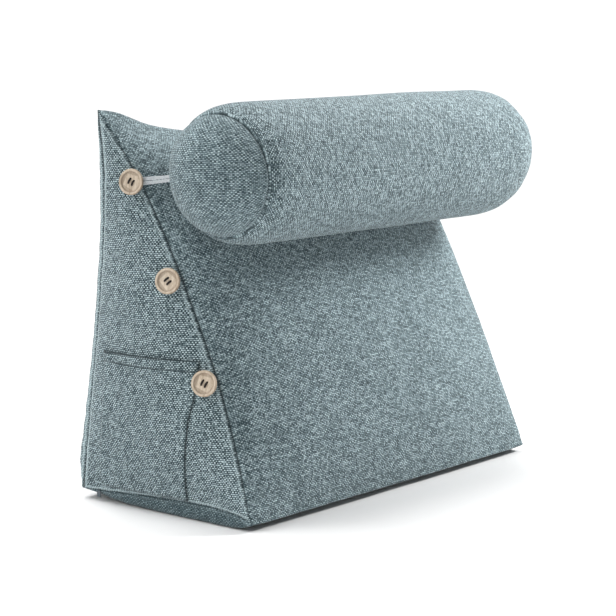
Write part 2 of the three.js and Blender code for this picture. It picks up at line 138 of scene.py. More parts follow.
def pale_floor():
    deselect_all()
    bpy.ops.mesh.primitive_circle_add(vertices=96, radius=FLOOR_RADIUS, fill_type="NGON")
    floor = bpy.context.object
    floor.name = "pale_floor"
    with editing("EDGE"):
        bpy.ops.mesh.select_all(action="SELECT")
        bpy.ops.mesh.region_to_loop()
        for step in range(RIM_STEPS):
            before, low = rim_place(step)
            after, high = rim_place(step + 1)
            bpy.ops.mesh.extrude_region_move(TRANSFORM_OT_translate={"value": (0, 0, high - low)})
            bpy.ops.transform.resize(value=(after / before, after / before, 1))
    bpy.ops.object.shade_smooth()
    floor.data.materials.append(plain_finish("pale_floor", FLOOR_COLOUR, FLOOR_ROUGHNESS))
    return floor


floor = pale_floor()
print("floor", len(floor.data.polygons), "faces")

# %% Lamps and room
SUN_SPREAD = math.radians(40)


def new_lamp(name, kind, place, away, energy):
    """A lamp at a place. Away leads from what it lights back to the lamp."""
    deselect_all()
    bpy.ops.object.light_add(type=kind, location=place)
    lamp = bpy.context.object
    lamp.name = name
    lamp.rotation_euler = away.to_track_quat("Z", "Y").to_euler()
    lamp.data.energy = energy
    return lamp


def sun(name, azimuth, elevation, strength):
    """A wide sun. Azimuth 0 shines from -Y and 90 from +X."""
    away = looking_back(math.radians(azimuth), math.radians(elevation))
    lamp = new_lamp(name, "SUN", (0, 0, 3), away, strength)
    lamp.data.angle = SUN_SPREAD
    return lamp


def soft_lamp(name, place, target, size, power):
    lamp = new_lamp(name, "AREA", place, Vector(place) - Vector(target), power)
    lamp.data.shape = "DISK"
    lamp.data.size = size
    return lamp


def pale_world(strength):
    world = bpy.data.worlds.new("studio")
    bpy.context.scene.world = world
    world.use_nodes = True
    sky = world.node_tree.nodes["Background"]
    sky.inputs["Color"].default_value = (1, 1, 1, 1)
    sky.inputs["Strength"].default_value = strength


lamps = [
    soft_lamp("key_lamp", place=(1.2, -0.75, 1.12), target=(0.1, -0.05, 0.25), size=0.6, power=34),
    sun("top_sun", azimuth=180, elevation=68, strength=3.3),
    sun("fill_sun", azimuth=-125, elevation=30, strength=1.5),
]
pale_world(strength=0.22)
bpy.context.scene.view_settings.view_transform = "Standard"
print("lamps", [lamp.name for lamp in lamps])

# %% [markdown]
# ## The seam lines
# A stuffed cover bulges everywhere but at its seams, so the seams are the lines to know first.
# Each one bows between two corners. Keeping them as functions lets us find the points of the
# mesh that lie on a seam, hold them still while the cloth fills, and press a groove there later.

# %% Seam lines
MM = 0.001
HALF_WIDTH = 300 * MM
CORNERS = {"front": (-149 * MM, 8 * MM), "rear": (144 * MM, 12 * MM), "ear": (106 * MM, 505 * MM)}
SIDE_SEAMS = {
    "front": {"from": "front", "to": "ear", "outward": 18, "drawn_in": 19, "peak": 0.54, "fullness": 2.6},
    "back": {"from": "rear", "to": "ear", "outward": -2, "drawn_in": 18, "peak": 0.6, "fullness": 2.2},
    "base": {"from": "front", "to": "rear", "outward": -12, "drawn_in": 4, "peak": 0.27, "fullness": 1.8},
}
WIDTH_SEAMS = {
    "ridge": {"corner": "ear", "forward": 0, "rise": -40, "fullness": 2.1},
    "front_hem": {"corner": "front", "forward": 2, "rise": -1, "fullness": 2.4},
    "rear_hem": {"corner": "rear", "forward": -4, "rise": -8, "fullness": 2.4},
}
SEAM_POINTS = 600


def bow(t, peak, fullness):
    skewed = t ** (math.log(0.5) / math.log(peak))
    return 1 - abs(2 * skewed - 1) ** fullness


def outward_across(start, end):
    """The unit direction in the side panel's plane that leads away from the panel."""
    normal = Vector((end[1] - start[1], start[0] - end[0])).normalized()
    centre = Vector((sum(c[0] for c in CORNERS.values()) / 3, sum(c[1] for c in CORNERS.values()) / 3))
    middle = (Vector(start) + Vector(end)) / 2
    return -normal if normal.dot(middle - centre) < 0 else normal


def side_seam(side, name, t):
    seam = SIDE_SEAMS[name]
    start, end = Vector(CORNERS[seam["from"]]), Vector(CORNERS[seam["to"]])
    share = bow(t, seam["peak"], seam["fullness"])
    place = start.lerp(end, t) + outward_across(start, end) * seam["outward"] * MM * share
    return Vector((side * (HALF_WIDTH - seam["drawn_in"] * MM * share), place[0], place[1]))


def width_seam(name, u):
    seam = WIDTH_SEAMS[name]
    share = bow(u, 0.5, seam["fullness"])
    y, z = CORNERS[seam["corner"]]
    forward, rise = seam["forward"] * MM * share, seam["rise"] * MM * share
    return Vector(((2 * u - 1) * HALF_WIDTH, y - forward, z + rise))


def seam_line(maker):
    return [maker(i / SEAM_POINTS) for i in range(SEAM_POINTS + 1)]


seams = {}
for side, word in ((-1, "left"), (1, "right")):
    for name in SIDE_SEAMS:
        seams[f"{word}_{name}"] = seam_line(lambda t: side_seam(side, name, t))
for name in WIDTH_SEAMS:
    seams[name] = seam_line(lambda u: width_seam(name, u))


def line_length(line):
    return sum((b - a).length for a, b in zip(line, line[1:]))


for name, line in seams.items():
    print("seam", name, round(line_length(line), 3), "m")

# %% [markdown]
# ## The cloth
# The cover is a heather weave: thick dull yarns, pale and dark ones twisted together, so that no
# two crossings have the same tone. A picture of cloth would repeat and blur. A pattern that is
# worked out from the cloth's own map, in metres, keeps its yarns the right size on every panel:
# each point asks which warp and which weft yarn it is on, which of the two lies on top there,
# and how that length of yarn is dyed.

# %% Shader nodes by short calls
class Recipe:
    """Adds shader nodes to one material and links them."""

    def __init__(self, name):
        self.material = bpy.data.materials.new(name)
        self.material.use_nodes = True
        self.tree = self.material.node_tree
        self.shader = self.tree.nodes["Principled BSDF"]

    def feed(self, socket, value):
        if isinstance(value, bpy.types.NodeSocket):
            self.tree.links.new(value, socket)
        else:
            socket.default_value = value

    def maths(self, operation, first, second=0.0, third=0.0):
        node = self.tree.nodes.new("ShaderNodeMath")
        node.operation = operation
        for socket, value in zip(node.inputs, (first, second, third)):
            self.feed(socket, value)
        return node.outputs[0]

    def point(self, x, y, z=0.0):
        node = self.tree.nodes.new("ShaderNodeCombineXYZ")
        for socket, value in zip(node.inputs, (x, y, z)):
            self.feed(socket, value)
        return node.outputs[0]

    def parts(self, vector):
        node = self.tree.nodes.new("ShaderNodeSeparateXYZ")
        self.feed(node.inputs[0], vector)
        return node.outputs[0], node.outputs[1], node.outputs[2]

    def cloud(self, vector, scale, detail=2.0, roughness=0.5):
        node = self.tree.nodes.new("ShaderNodeTexNoise")
        self.feed(node.inputs["Vector"], vector)
        node.inputs["Scale"].default_value = scale
        node.inputs["Detail"].default_value = detail
        node.inputs["Roughness"].default_value = roughness
        return node.outputs["Fac"]

    def scatter(self, vector):
        """A tone from 0 to 1 that has nothing to do with its neighbours'."""
        node = self.tree.nodes.new("ShaderNodeTexWhiteNoise")
        node.noise_dimensions = "3D"
        self.feed(node.inputs["Vector"], vector)
        return node.outputs["Value"]

    def hump(self, value, middle, reach):
        """1 at the middle value, and falling to 0 on both sides of it."""
        offset = self.maths("DIVIDE", self.maths("SUBTRACT", value, middle), reach)
        return self.maths("EXPONENT", self.maths("MULTIPLY", self.maths("MULTIPLY", offset, offset), -1.0))

    def blend(self, share, first, second):
        node = self.tree.nodes.new("ShaderNodeMix")
        node.data_type = "RGBA"
        node.clamp_factor = True
        self.feed(node.inputs[0], share)
        self.feed(node.inputs[6], first)
        self.feed(node.inputs[7], second)
        return node.outputs[2]

    def ramp(self, value, stops):
        node = self.tree.nodes.new("ShaderNodeValToRGB")
        self.feed(node.inputs[0], value)
        ramp = node.color_ramp
        while len(ramp.elements) < len(stops):
            ramp.elements.new(0.5)
        for element, (place, colour) in zip(ramp.elements, stops):
            element.position = place
            element.color = (*colour, 1)
        return node.outputs[0]

    def attribute(self, name):
        node = self.tree.nodes.new("ShaderNodeAttribute")
        node.attribute_name = name
        return node.outputs["Fac"]

    def cloth_map(self, name):
        node = self.tree.nodes.new("ShaderNodeUVMap")
        node.uv_map = name
        return node.outputs[0]

    def object_point(self):
        return self.tree.nodes.new("ShaderNodeTexCoord").outputs["Object"]

    def relief(self, height, strength, depth):
        node = self.tree.nodes.new("ShaderNodeBump")
        node.inputs["Strength"].default_value = strength
        node.inputs["Distance"].default_value = depth
        self.feed(node.inputs["Height"], height)
        self.feed(self.shader.inputs["Normal"], node.outputs[0])

    def finish(self, colour, roughness):
        self.feed(self.shader.inputs["Base Color"], colour)
        self.shader.inputs["Roughness"].default_value = roughness


print("shader nodes are added by", [name for name in vars(Recipe) if not name.startswith("_")])

# %% How a weave is worked out
PITCH = (2.4 * MM, 2.05 * MM)
SIDE_PITCH = (2.0 * MM, 2.35 * MM)
YARN_WANDER = 1.6
WANDER_SCALE = 55
YARN_DIP = 0.34
DYE_SHIFT = 9.0
# Where the painted highlight on a seam's fold lies and how far it spreads.
LIP_HIGHLIGHT_PLACE = 3.2
LIP_HIGHLIGHT_REACH = 1.4
PALE_YARN = (0.520, 0.640, 0.668)
# The seam's dark line: its own join, darkened further as painted groove shade.
SEAM_SHADE = (0.018, 0.032, 0.037)


class Weave(Recipe):
    """The shader nodes of one woven cloth."""

    def yarns_before(self, along, pitch, wander_place):
        """How many yarns lie before a point. The count wanders a little, as woven yarns do."""
        wander = self.cloud(wander_place, WANDER_SCALE)
        return self.maths("MULTIPLY_ADD", wander, YARN_WANDER, self.maths("DIVIDE", along, pitch))

    def yarn_height(self, across, along, number, flip):
        """The height of one yarn: round across, and rising where it passes over."""
        arch = self.maths("SINE", self.maths("MULTIPLY", self.maths("FRACT", across), math.pi))
        turn = self.maths("ADD", self.maths("SUBTRACT", along, 0.5), number)
        turn = self.maths("ADD", turn, flip)
        over = self.maths("COSINE", self.maths("MULTIPLY", turn, math.pi))
        return self.maths("MULTIPLY", arch, self.maths("MULTIPLY_ADD", over, YARN_DIP, 1 - YARN_DIP))

    def dyed(self, number, along, run, seed):
        """The tone of the length of yarn that lies here."""
        start = self.scatter(self.point(number, seed))
        length = self.maths("MULTIPLY_ADD", start, DYE_SHIFT, self.maths("DIVIDE", along, run))
        return self.scatter(self.point(number, self.maths("FLOOR", length), seed))

    def moved(self, level, value, middle, amount):
        """The level, moved up or down by how far a value is from its middle."""
        return self.maths("MULTIPLY_ADD", self.maths("SUBTRACT", value, middle), amount, level)

    def with_seams(self, colour, lip):
        """The colour with a dark line along each seam, partly the seam's own dark join and partly painted
        groove shade, and a painted highlight on the fold beside it.
        """
        distance = self.attribute("seam_distance")
        # Painted highlight on the seam's fold, in the pale yarn's colour.
        fold = self.maths("MULTIPLY", self.attribute("seam_lip_highlight"), lip)
        fold = self.maths("MULTIPLY", self.hump(distance, LIP_HIGHLIGHT_PLACE, LIP_HIGHLIGHT_REACH), fold)
        colour = self.blend(fold, colour, (*PALE_YARN, 1))
        # Dark line at the seam: the seam's own dark join and painted groove shade.
        line = self.maths("MULTIPLY", self.hump(distance, 0.0, 1.0), self.attribute("seam_shade_strength"))
        return self.blend(line, colour, (*SEAM_SHADE, 1))


print("yarns", [round(1 / pitch) for pitch in PITCH + SIDE_PITCH], "to a metre")

# %% Weave the cloths
DARK_YARN = (0.016, 0.034, 0.041)
DULL_YARN = (0.140, 0.202, 0.222)
MIDDLE_LEVEL = 0.37
MIDDLE_HEIGHT = 0.72
DYE_SHARE = 0.28
KNOT_SHARE = 0.54
DIP_SHADE_SHARE = 1.15
FIBRE_SHARE = 0.3
FIBRE_SCALE = 1500
MOTTLE_SHARE = 0.08
MOTTLE_SCALE = 14
CLOTH_ROUGHNESS = 0.93


def heather_cloth(name, warp_run, weft_run, pitch=PITCH, warp_share=0.5, lightness=0.0,
                  contrast=1.0, check=0.5, lip=1.0):
    """warp_run and weft_run say for how many crossings a yarn keeps its tone."""
    recipe = Weave(name)
    place = recipe.cloth_map("cloth")
    u, v, _ = recipe.parts(place)
    s = recipe.yarns_before(u, pitch[0], place)
    t = recipe.yarns_before(v, pitch[1], recipe.point(v, u, 3.7))
    warp = recipe.maths("FLOOR", s)
    weft = recipe.maths("FLOOR", t)
    warp_height = recipe.yarn_height(s, t, warp, 0.0)
    weft_height = recipe.yarn_height(t, s, weft, 1.0)
    height = recipe.maths("MAXIMUM", warp_height, weft_height)
    raised = recipe.maths("ADD", warp_height, warp_share - 0.5)
    warp_on_top = recipe.maths("GREATER_THAN", raised, weft_height)
    weft_on_top = recipe.maths("SUBTRACT", 1.0, warp_on_top)
    tone = recipe.maths("ADD",
                        recipe.maths("MULTIPLY", recipe.dyed(warp, t, warp_run, 0.5), warp_on_top),
                        recipe.maths("MULTIPLY", recipe.dyed(weft, s, weft_run, 7.5), weft_on_top))
    fibre = recipe.cloud(place, FIBRE_SCALE)
    level = MIDDLE_LEVEL + lightness
    # The yarns' height darkens their dips as painted shade between the yarns; the other terms are the
    # yarns' own tones.
    for value, middle, amount in (
        (tone, 0.5, DYE_SHARE),
        (weft_on_top, 0.5, check),
        (recipe.scatter(recipe.point(warp, weft, 3.1)), 0.5, KNOT_SHARE),
        (height, MIDDLE_HEIGHT, DIP_SHADE_SHARE),
        (fibre, 0.5, FIBRE_SHARE),
        (recipe.cloud(place, MOTTLE_SCALE), 0.5, MOTTLE_SHARE),
    ):
        level = recipe.moved(level, value, middle, amount * contrast)
    colour = recipe.ramp(level, [(0.0, DARK_YARN), (0.42, DULL_YARN), (1.0, PALE_YARN)])
    recipe.finish(recipe.with_seams(colour, lip), CLOTH_ROUGHNESS)
    recipe.shader.inputs["Specular IOR Level"].default_value = 0.25
    recipe.shader.inputs["Sheen Weight"].default_value = 0.12
    recipe.shader.inputs["Sheen Roughness"].default_value = 0.6
    recipe.relief(recipe.maths("MULTIPLY_ADD", fibre, 0.25, height), 0.6, 0.6 * MM)
    return recipe.material


side_cloth = heather_cloth("side_cloth", 1.5, 1.7, SIDE_PITCH, contrast=1.45, lightness=0.01)
slope_cloth = heather_cloth("slope_cloth", 1.6, 4.4, warp_share=0.34, contrast=1.05,
                            lightness=0.02, check=0.3, lip=0)
roll_cloth = heather_cloth("roll_cloth", 1.6, 3.6, warp_share=0.4, contrast=1.2, check=0.35)
cap_cloth = heather_cloth("cap_cloth", 1.6, 1.6, contrast=0.85, lightness=0.02)
# The base is the same heather made darker, as painted shade on the underside that faces the floor.
base_cloth = heather_cloth("base_cloth", 1.6, 1.6, lightness=-0.18, contrast=0.6, lip=0.2)
print("cloths", [m.name for m in (side_cloth, slope_cloth, roll_cloth, cap_cloth, base_cloth)])

# %% [markdown]
# ## The stuffed wedge
# The frame's wedge has the right corners and crowns, but it is coarse. We copy it, weld its
# loose triangles, mark the seam edges and pair the rest into quads. A subdivision surface with
# creases on the seams makes it fine. Then Blender's cloth, blown up from inside with its seams
# held, gives the cover the small unevenness of real filling. A cap keeps it to its size.

# %% Copy the wedge and mark its seams
WELD_REACH = 0.05 * MM
ON_SEAM = 0.6 * MM
SEAM_CREASES = {name: 1.0 for name in seams}
SEAM_CREASES["ridge"] = 0.24
SEAM_CREASES["front_hem"] = 0.26


def rows_of(piece, name):
    rows = np.empty(len(piece.data.vertices) * 3)
    piece.data.vertices.foreach_get(name, rows)
    return rows.reshape(-1, 3)


def points_of(piece):
    return rows_of(piece, "co")


def normals_of(piece):
    return rows_of(piece, "normal")


def set_points(piece, places):
    piece.data.vertices.foreach_set("co", np.asarray(places, float).ravel())
    piece.data.update()


def bell(value, middle, reach):
    """1 at the middle value, and falling to 0 on both sides of it."""
    return np.exp(-(((value - middle) / reach) ** 2))


def away_from(distance, reach):
    """0 on a seam, and nearly 1 a few reaches away from it."""
    return 1 - np.exp(-distance / reach)


def welded_copy(node, name):
    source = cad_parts[node]
    piece = bpy.data.objects.new(name, source.data.copy())
    bpy.context.scene.collection.objects.link(piece)
    piece.data.materials.clear()
    make_active(piece)
    with editing():
        bpy.ops.mesh.select_all(action="SELECT")
        bpy.ops.mesh.remove_doubles(threshold=WELD_REACH)
    bpy.ops.mesh.customdata_custom_splitnormals_clear()
    return piece


class SeamFinder:
    """Finds, for a place, the nearest point of a set of seam lines."""

    def __init__(self, lines):
        self.names = list(lines)
        self.entries = []
        for number, name in enumerate(self.names):
            run = 0.0
            before = lines[name][0]
            for place in lines[name]:
                run += (place - before).length
                before = place
                self.entries.append((place, number, run))
        self.tree = kdtree.KDTree(len(self.entries))
        for index, (place, _, _) in enumerate(self.entries):
            self.tree.insert(place, index)
        self.tree.balance()

    def nearest(self, place):
        _, index, distance = self.tree.find(place)
        _, number, run = self.entries[index]
        return distance, number, run

    def for_points(self, places):
        found = [self.nearest(place) for place in places]
        return tuple(np.array(column) for column in zip(*found))


def points_on_line(piece, line):
    finder = SeamFinder({"line": line})
    return {i for i, v in enumerate(piece.data.vertices) if finder.nearest(v.co)[0] < ON_SEAM}


def mark_seams(piece, lines, hardness):
    """Marks and creases the mesh edges that follow the lines, and counts them."""
    creases = piece.data.attributes.new("crease_edge", "FLOAT", "EDGE")
    marked = 0
    for name, line in lines.items():
        on_line = points_on_line(piece, line)
        for edge in piece.data.edges:
            if on_line.issuperset(edge.vertices):
                edge.use_seam = True
                creases.data[edge.index].value = hardness[name]
                marked += 1
    return marked


wedge = welded_copy("wedge_cushion", "stuffed_wedge")
marked = mark_seams(wedge, seams, SEAM_CREASES)
print("wedge", len(wedge.data.polygons), "faces and", marked, "edges on seams")

# %% Find the panels and give each its cloth
PANEL_CLOTHS = [slope_cloth, base_cloth, side_cloth]
SLOPE, BASE, SIDE = range(3)


def paired_into_quads(piece):
    make_active(piece)
    with editing():
        bpy.ops.mesh.select_all(action="SELECT")
        bpy.ops.mesh.tris_convert_to_quads(face_threshold=math.pi, shape_threshold=math.pi, seam=True)


def panels_between_seams(piece):
    """Groups the faces into the panels that the marked seams part."""
    mesh = bmesh.new()
    mesh.from_mesh(piece.data)
    mesh.faces.ensure_lookup_table()
    panel = {}
    groups = []
    for start in mesh.faces:
        if start.index in panel:
            continue
        group = [start]
        panel[start.index] = len(groups)
        for face in group:
            for edge in face.edges:
                if edge.seam:
                    continue
                for other in edge.link_faces:
                    if other.index not in panel:
                        panel[other.index] = len(groups)
                        group.append(other)
        groups.append([face.index for face in group])
    mesh.free()
    return groups


def cloth_of_panel(piece, faces):
    """A panel's cloth, told by the way in which it faces."""
    normal = sum((piece.data.polygons[i].normal * piece.data.polygons[i].area for i in faces), Vector())
    normal.normalize()
    if abs(normal.x) > 0.8:
        return SIDE
    return BASE if normal.z < -0.7 else SLOPE


def cover_panel(piece, faces, cloth):
    for index in faces:
        piece.data.polygons[index].material_index = cloth


paired_into_quads(wedge)
for cloth in PANEL_CLOTHS:
    wedge.data.materials.append(cloth)
panels = panels_between_seams(wedge)
for faces in panels:
    cover_panel(wedge, faces, cloth_of_panel(wedge, faces))
print("wedge", len(wedge.data.polygons), "faces in", len(panels), "panels")

# %% Fill the wedge
WEDGE_SLACK = 2.0 * MM
WEDGE_SLACK_REACH = 60 * MM
WEDGE_SWELL = 7 * MM
HELD_REACH = 1.5 * MM
FILLING_STEPS = 20


def apply_all_modifiers(piece):
    make_active(piece)
    for modifier in list(piece.modifiers):
        bpy.ops.object.modifier_apply(modifier=modifier.name)


def subdivided(piece, levels):
    modifier = piece.modifiers.new("finer", "SUBSURF")
    modifier.levels = modifier.render_levels = levels
    apply_all_modifiers(piece)


def drawn_in(piece, finder, depth, reach):
    """Starts the cover a little smaller, because the pressure swells it."""
    places, normals = points_of(piece), normals_of(piece)
    distance, _, _ = finder.for_points(places)
    share = away_from(distance, reach)
    set_points(piece, places - normals * (depth * share)[:, None])


def filled_by_pressure(piece, sewn, most_swell):
    """Blows the cover up with its seams held, and caps how far a point may move."""
    rest = points_of(piece)
    group = piece.vertex_groups.new(name="sewn")
    group.add(sorted(sewn), 1.0, "REPLACE")
    cloth = piece.modifiers.new("filling", "CLOTH").settings
    cloth.quality = 6
    cloth.mass = 0.4
    cloth.tension_stiffness = 12
    cloth.compression_stiffness = 12
    cloth.shear_stiffness = 4
    cloth.bending_stiffness = 0.6
    cloth.use_pressure = True
    cloth.uniform_pressure_force = 4
    cloth.effector_weights.gravity = 0
    cloth.vertex_group_mass = group.name
    for step in range(FILLING_STEPS):
        bpy.context.scene.frame_set(step + 1)
    apply_all_modifiers(piece)
    moved = points_of(piece) - rest
    far = np.linalg.norm(moved, axis=1, keepdims=True)
    set_points(piece, rest + moved * np.minimum(1, most_swell / np.maximum(far, 1e-9)))
    piece.vertex_groups.clear()
    return float(far.mean())


def filled(piece, finder, slack, slack_reach, most_swell):
    """Makes the cover finer, blows it up, and makes it finer again."""
    subdivided(piece, 1)
    sewn = {i for i, v in enumerate(piece.data.vertices) if finder.nearest(v.co)[0] < HELD_REACH}
    drawn_in(piece, finder, slack, slack_reach)
    moved = filled_by_pressure(piece, sewn, most_swell)
    print(piece.name, "moved", round(moved * 1000, 1), "mm on average")
    subdivided(piece, 1)


filled(wedge, SeamFinder(seams), WEDGE_SLACK, WEDGE_SLACK_REACH, WEDGE_SWELL)
print("wedge", len(wedge.data.polygons), "faces")

# %% [markdown]
# ## Seams, puckers and lumps
# A sewn seam pulls the cloth down into a groove with a fold on each side, and gathers small
# puckers beside it. Filling settles in slow lumps, and a sewn corner never fills to its tip.
# All of this is finer than the cloth simulation's mesh. So we cut the mesh finer beside the
# seams, and move its points by how far they are from the nearest stitch.

# %% Find the stitches and cut the mesh finer beside them
BACK_STITCH_HEIGHTS = [0, 0.05, 0.2, 0.35, 0.42, 0.5]
BACK_STITCH_AHEAD = [3, 7.5, 8, 8, 8, 1]


def surface_of(piece):
    return BVHTree.FromObject(piece, bpy.context.evaluated_depsgraph_get())


def sewn_ahead(line, cover):
    """The back seam's stitches lie on the side panel, a little ahead of its folded edge."""
    stitches = []
    for place in line:
        ahead = np.interp(place.z, BACK_STITCH_HEIGHTS, BACK_STITCH_AHEAD) * MM
        side = math.copysign(1, place.x)
        start = Vector((side * 0.5, place.y - ahead, place.z))
        hit = cover.ray_cast(start, Vector((-side, 0, 0)))[0]
        stitches.append(hit or place)
    return stitches


def unselected(*parts):
    for part in parts:
        part.foreach_set("select", np.zeros(len(part), bool))


def finer_near_seams(piece, finder, reach):
    """Cuts the faces beside a seam into four, so that the seam's groove has points to use."""
    make_active(piece)
    for polygon in piece.data.polygons:
        polygon.select = finder.nearest(polygon.center)[0] < reach
    unselected(piece.data.vertices, piece.data.edges)
    with editing("FACE"):
        bpy.ops.mesh.subdivide(number_cuts=1, smoothness=0)


cover = surface_of(wedge)
stitch_lines = {n: sewn_ahead(line, cover) if n.endswith("back") else line for n, line in seams.items()}
stitch_finder = SeamFinder(stitch_lines)
for reach in (8 * MM, 3 * MM):
    finer_near_seams(wedge, stitch_finder, reach)
print("wedge", len(wedge.data.polygons), "faces beside and between the seams")

# %% How a seam presses the cloth
GROOVE_DEPTH = 2.0 * MM
GROOVE_REACH = 1.5 * MM
LIP_HEIGHT = 0.9 * MM
LIP_PLACE = 3.6 * MM
LIP_REACH = 1.6 * MM
PUCKER_HEIGHT = 0.7 * MM
PUCKER_PITCH = 13 * MM
PUCKER_START = 3 * MM
PUCKER_REACH = 20 * MM
LUMP_HEIGHT = 2.2 * MM
LUMP_SIZE = 110 * MM
LUMP_START = 40 * MM
# For each seam: its dark line with painted groove shade, the painted highlight on its lip, their width, and
# the groove's depth.
SEAM_SHADES = {
    "front": (0.95, 0.22, 1.35, 1.0),
    "back": (1.0, 0.45, 1.5, 0.4),
    "base": (0.4, 0.5, 1.0, 0.4),
    "rear_hem": (0.9, 0.2, 1.2, 0.9),
    "end": (0.9, 0.1, 0.75, 0.7),
    "ridge": (0.0, 0.0, 1.0, 0.0),
    "front_hem": (0.0, 0.0, 1.0, 0.0),
}


def seam_shade(name):
    """How dark a seam's line is with its painted groove shade, how pale the painted highlight on its lip
    is, how wide both are, and how deep it lies.
    """
    return SEAM_SHADES[name if name in SEAM_SHADES else name.split("_")[1]]


def write_attribute(piece, name, values):
    attribute = piece.data.attributes.new(name, "FLOAT", "POINT")
    attribute.data.foreach_set("value", np.asarray(values, np.float32))


def write_shades(piece, distance, shades):
    # The attributes that place the painted groove shade and the painted lip highlight.
    write_attribute(piece, "seam_distance", distance / MM / shades[:, 2])
    write_attribute(piece, "seam_shade_strength", shades[:, 0])
    write_attribute(piece, "seam_lip_highlight", shades[:, 1])


def seam_relief(places, finder, groove_depth, lump_height):
    """How far each point stands out beside the seams, and the nearest seam's shades."""
    distance, number, run = finder.for_points(places)
    shades = np.array([seam_shade(finder.names[n]) for n in number])
    firm = (shades[:, 0] > 0).astype(float)
    groove = bell(distance, 0, GROOVE_REACH) * shades[:, 3]
    lip = bell(distance, LIP_PLACE, LIP_REACH) * np.minimum(1, shades[:, 3])
    ripple = np.array([noise.noise(Vector((r / PUCKER_PITCH, n * 7.3, 0.0))) for r, n in zip(run, number)])
    fade = np.exp(-distance / PUCKER_REACH) * away_from(distance, PUCKER_START)
    lumps = np.array([noise.noise(Vector(place) / LUMP_SIZE) for place in places])
    calm = away_from(distance, LUMP_START)
    height = LIP_HEIGHT * lip - groove_depth * groove
    height += 2 * PUCKER_HEIGHT * ripple * fade * (0.3 + 0.7 * firm) + lump_height * lumps * calm
    return height, distance, shades


print("seams", len(stitch_lines), "with", len(SEAM_SHADES), "kinds of line")

# %% Press the wedge's seams in
BACK_FULLNESS = (7.5 * MM, 3.5 * MM)
BACK_FULLNESS_HEIGHTS = (0.1, 0.4)
EAR_LOBE = 262 * MM
EAR_LOBE_REACH = 38 * MM
EAR_FULLNESS = 6 * MM
EAR_DEPTH = 15 * MM


def ramped(values, start, length):
    """0 up to the start, and 1 from a length after it."""
    return np.clip((values - start) / length, 0, 1)


def back_fullness(places, normals, distance):
    """The back panel swells at once beside its side seams, so it shows past them from the front."""
    beside = away_from(distance, 6 * MM) * np.exp(-distance / (60 * MM))
    near_a_side = ramped(np.abs(places[:, 0]), 0.17, 0.06)
    clear_of_ends = ramped(places[:, 2], 0.02, 0.03) * ramped(-places[:, 2], -0.49, 0.05)
    fullness = np.interp(places[:, 2], BACK_FULLNESS_HEIGHTS, BACK_FULLNESS)
    facing_back = np.clip(normals[:, 1] * 3 - 0.4, 0, 1)
    return fullness * beside * near_a_side * clear_of_ends * facing_back


def ear_fullness(places):
    """Each ear is blunt: the ridge stays high for the last two fingers' width."""
    along = bell(np.abs(places[:, 0]), EAR_LOBE, EAR_LOBE_REACH)
    y, z = CORNERS["ear"]
    ridge = WIDTH_SEAMS["ridge"]
    sag = 1 - np.minimum(1, np.abs(places[:, 0]) / HALF_WIDTH) ** ridge["fullness"]
    below = places[:, 2] - z - ridge["rise"] * MM * sag
    around = bell(np.hypot(places[:, 1] - y, below), 0, EAR_DEPTH)
    rise = np.zeros_like(places)
    rise[:, 2] = EAR_FULLNESS * along * around
    return rise


places, normals = points_of(wedge), normals_of(wedge)
height, distance, shades = seam_relief(places, stitch_finder, GROOVE_DEPTH, LUMP_HEIGHT)
height += back_fullness(places, normals, distance)
set_points(wedge, places + normals * height[:, None] + ear_fullness(places))
write_shades(wedge, distance, shades)
print("relief from", round(height.min() * 1000, 1), "to", round(height.max() * 1000, 1), "mm")

# %% Blunt the corners and make room for the roll
EARS = [Vector((side * HALF_WIDTH, *CORNERS["ear"])) for side in (-1, 1)]
FEET = [Vector((side * HALF_WIDTH, *CORNERS[name])) for side in (-1, 1) for name in ("front", "rear")]
BLUNT_ROUNDS = 30
ROLL_AXIS = Vector((0, -87 * MM, 430 * MM))
ROLL_RADIUS = 89 * MM
ROLL_PRESS_HALF = 0.262
ROLL_CLEARANCE = 0.9 * MM
FLOOR_CLEARANCE = 0.3 * MM


def blunted(piece, corners, reach):
    """Softens the cover's points, where a sewn corner never fills to its tip."""
    make_active(piece)
    near = np.zeros(len(piece.data.vertices), bool)
    for place in corners:
        near |= np.linalg.norm(points_of(piece) - np.array(place), axis=1) < reach
    unselected(piece.data.polygons, piece.data.edges)
    piece.data.vertices.foreach_set("select", near)
    with editing("VERT"):
        bpy.ops.mesh.vertices_smooth(factor=0.5, repeat=BLUNT_ROUNDS)


def out_of_the_roll(places):
    """The slope is pressed in under the roll."""
    reach = ROLL_RADIUS + ROLL_CLEARANCE
    dy, dz = places[:, 1] - ROLL_AXIS.y, places[:, 2] - ROLL_AXIS.z
    distance = np.hypot(dy, dz)
    inside = (distance < reach) & (np.abs(places[:, 0]) < ROLL_PRESS_HALF)
    push = np.where(inside, reach / np.maximum(distance, 1e-6), 1.0)
    places[:, 1] = ROLL_AXIS.y + dy * push
    places[:, 2] = ROLL_AXIS.z + dz * push
    return places


blunted(wedge, EARS, 14 * MM)
blunted(wedge, FEET, 15 * MM)
places = out_of_the_roll(points_of(wedge))
places[:, 2] = np.maximum(places[:, 2], FLOOR_CLEARANCE)
set_points(wedge, places)
print("wedge", [round(float(c), 3) for c in np.ptp(places, axis=0)], "m over all")

# %% Lay the cloth's map on the panels
SLOPE_RUN = Vector([ear - front for ear, front in zip(CORNERS["ear"], CORNERS["front"])]).normalized()


def map_by_panel(piece, rule):
    """Writes each corner's place on its panel's cloth, in metres."""
    uv = piece.data.uv_layers.new(name="cloth")
    values = np.empty(len(piece.data.loops) * 2)
    for polygon in piece.data.polygons:
        for loop in polygon.loop_indices:
            place = piece.data.vertices[piece.data.loops[loop].vertex_index].co
            values[2 * loop:2 * loop + 2] = rule(polygon, place)
    uv.data.foreach_set("uv", values)


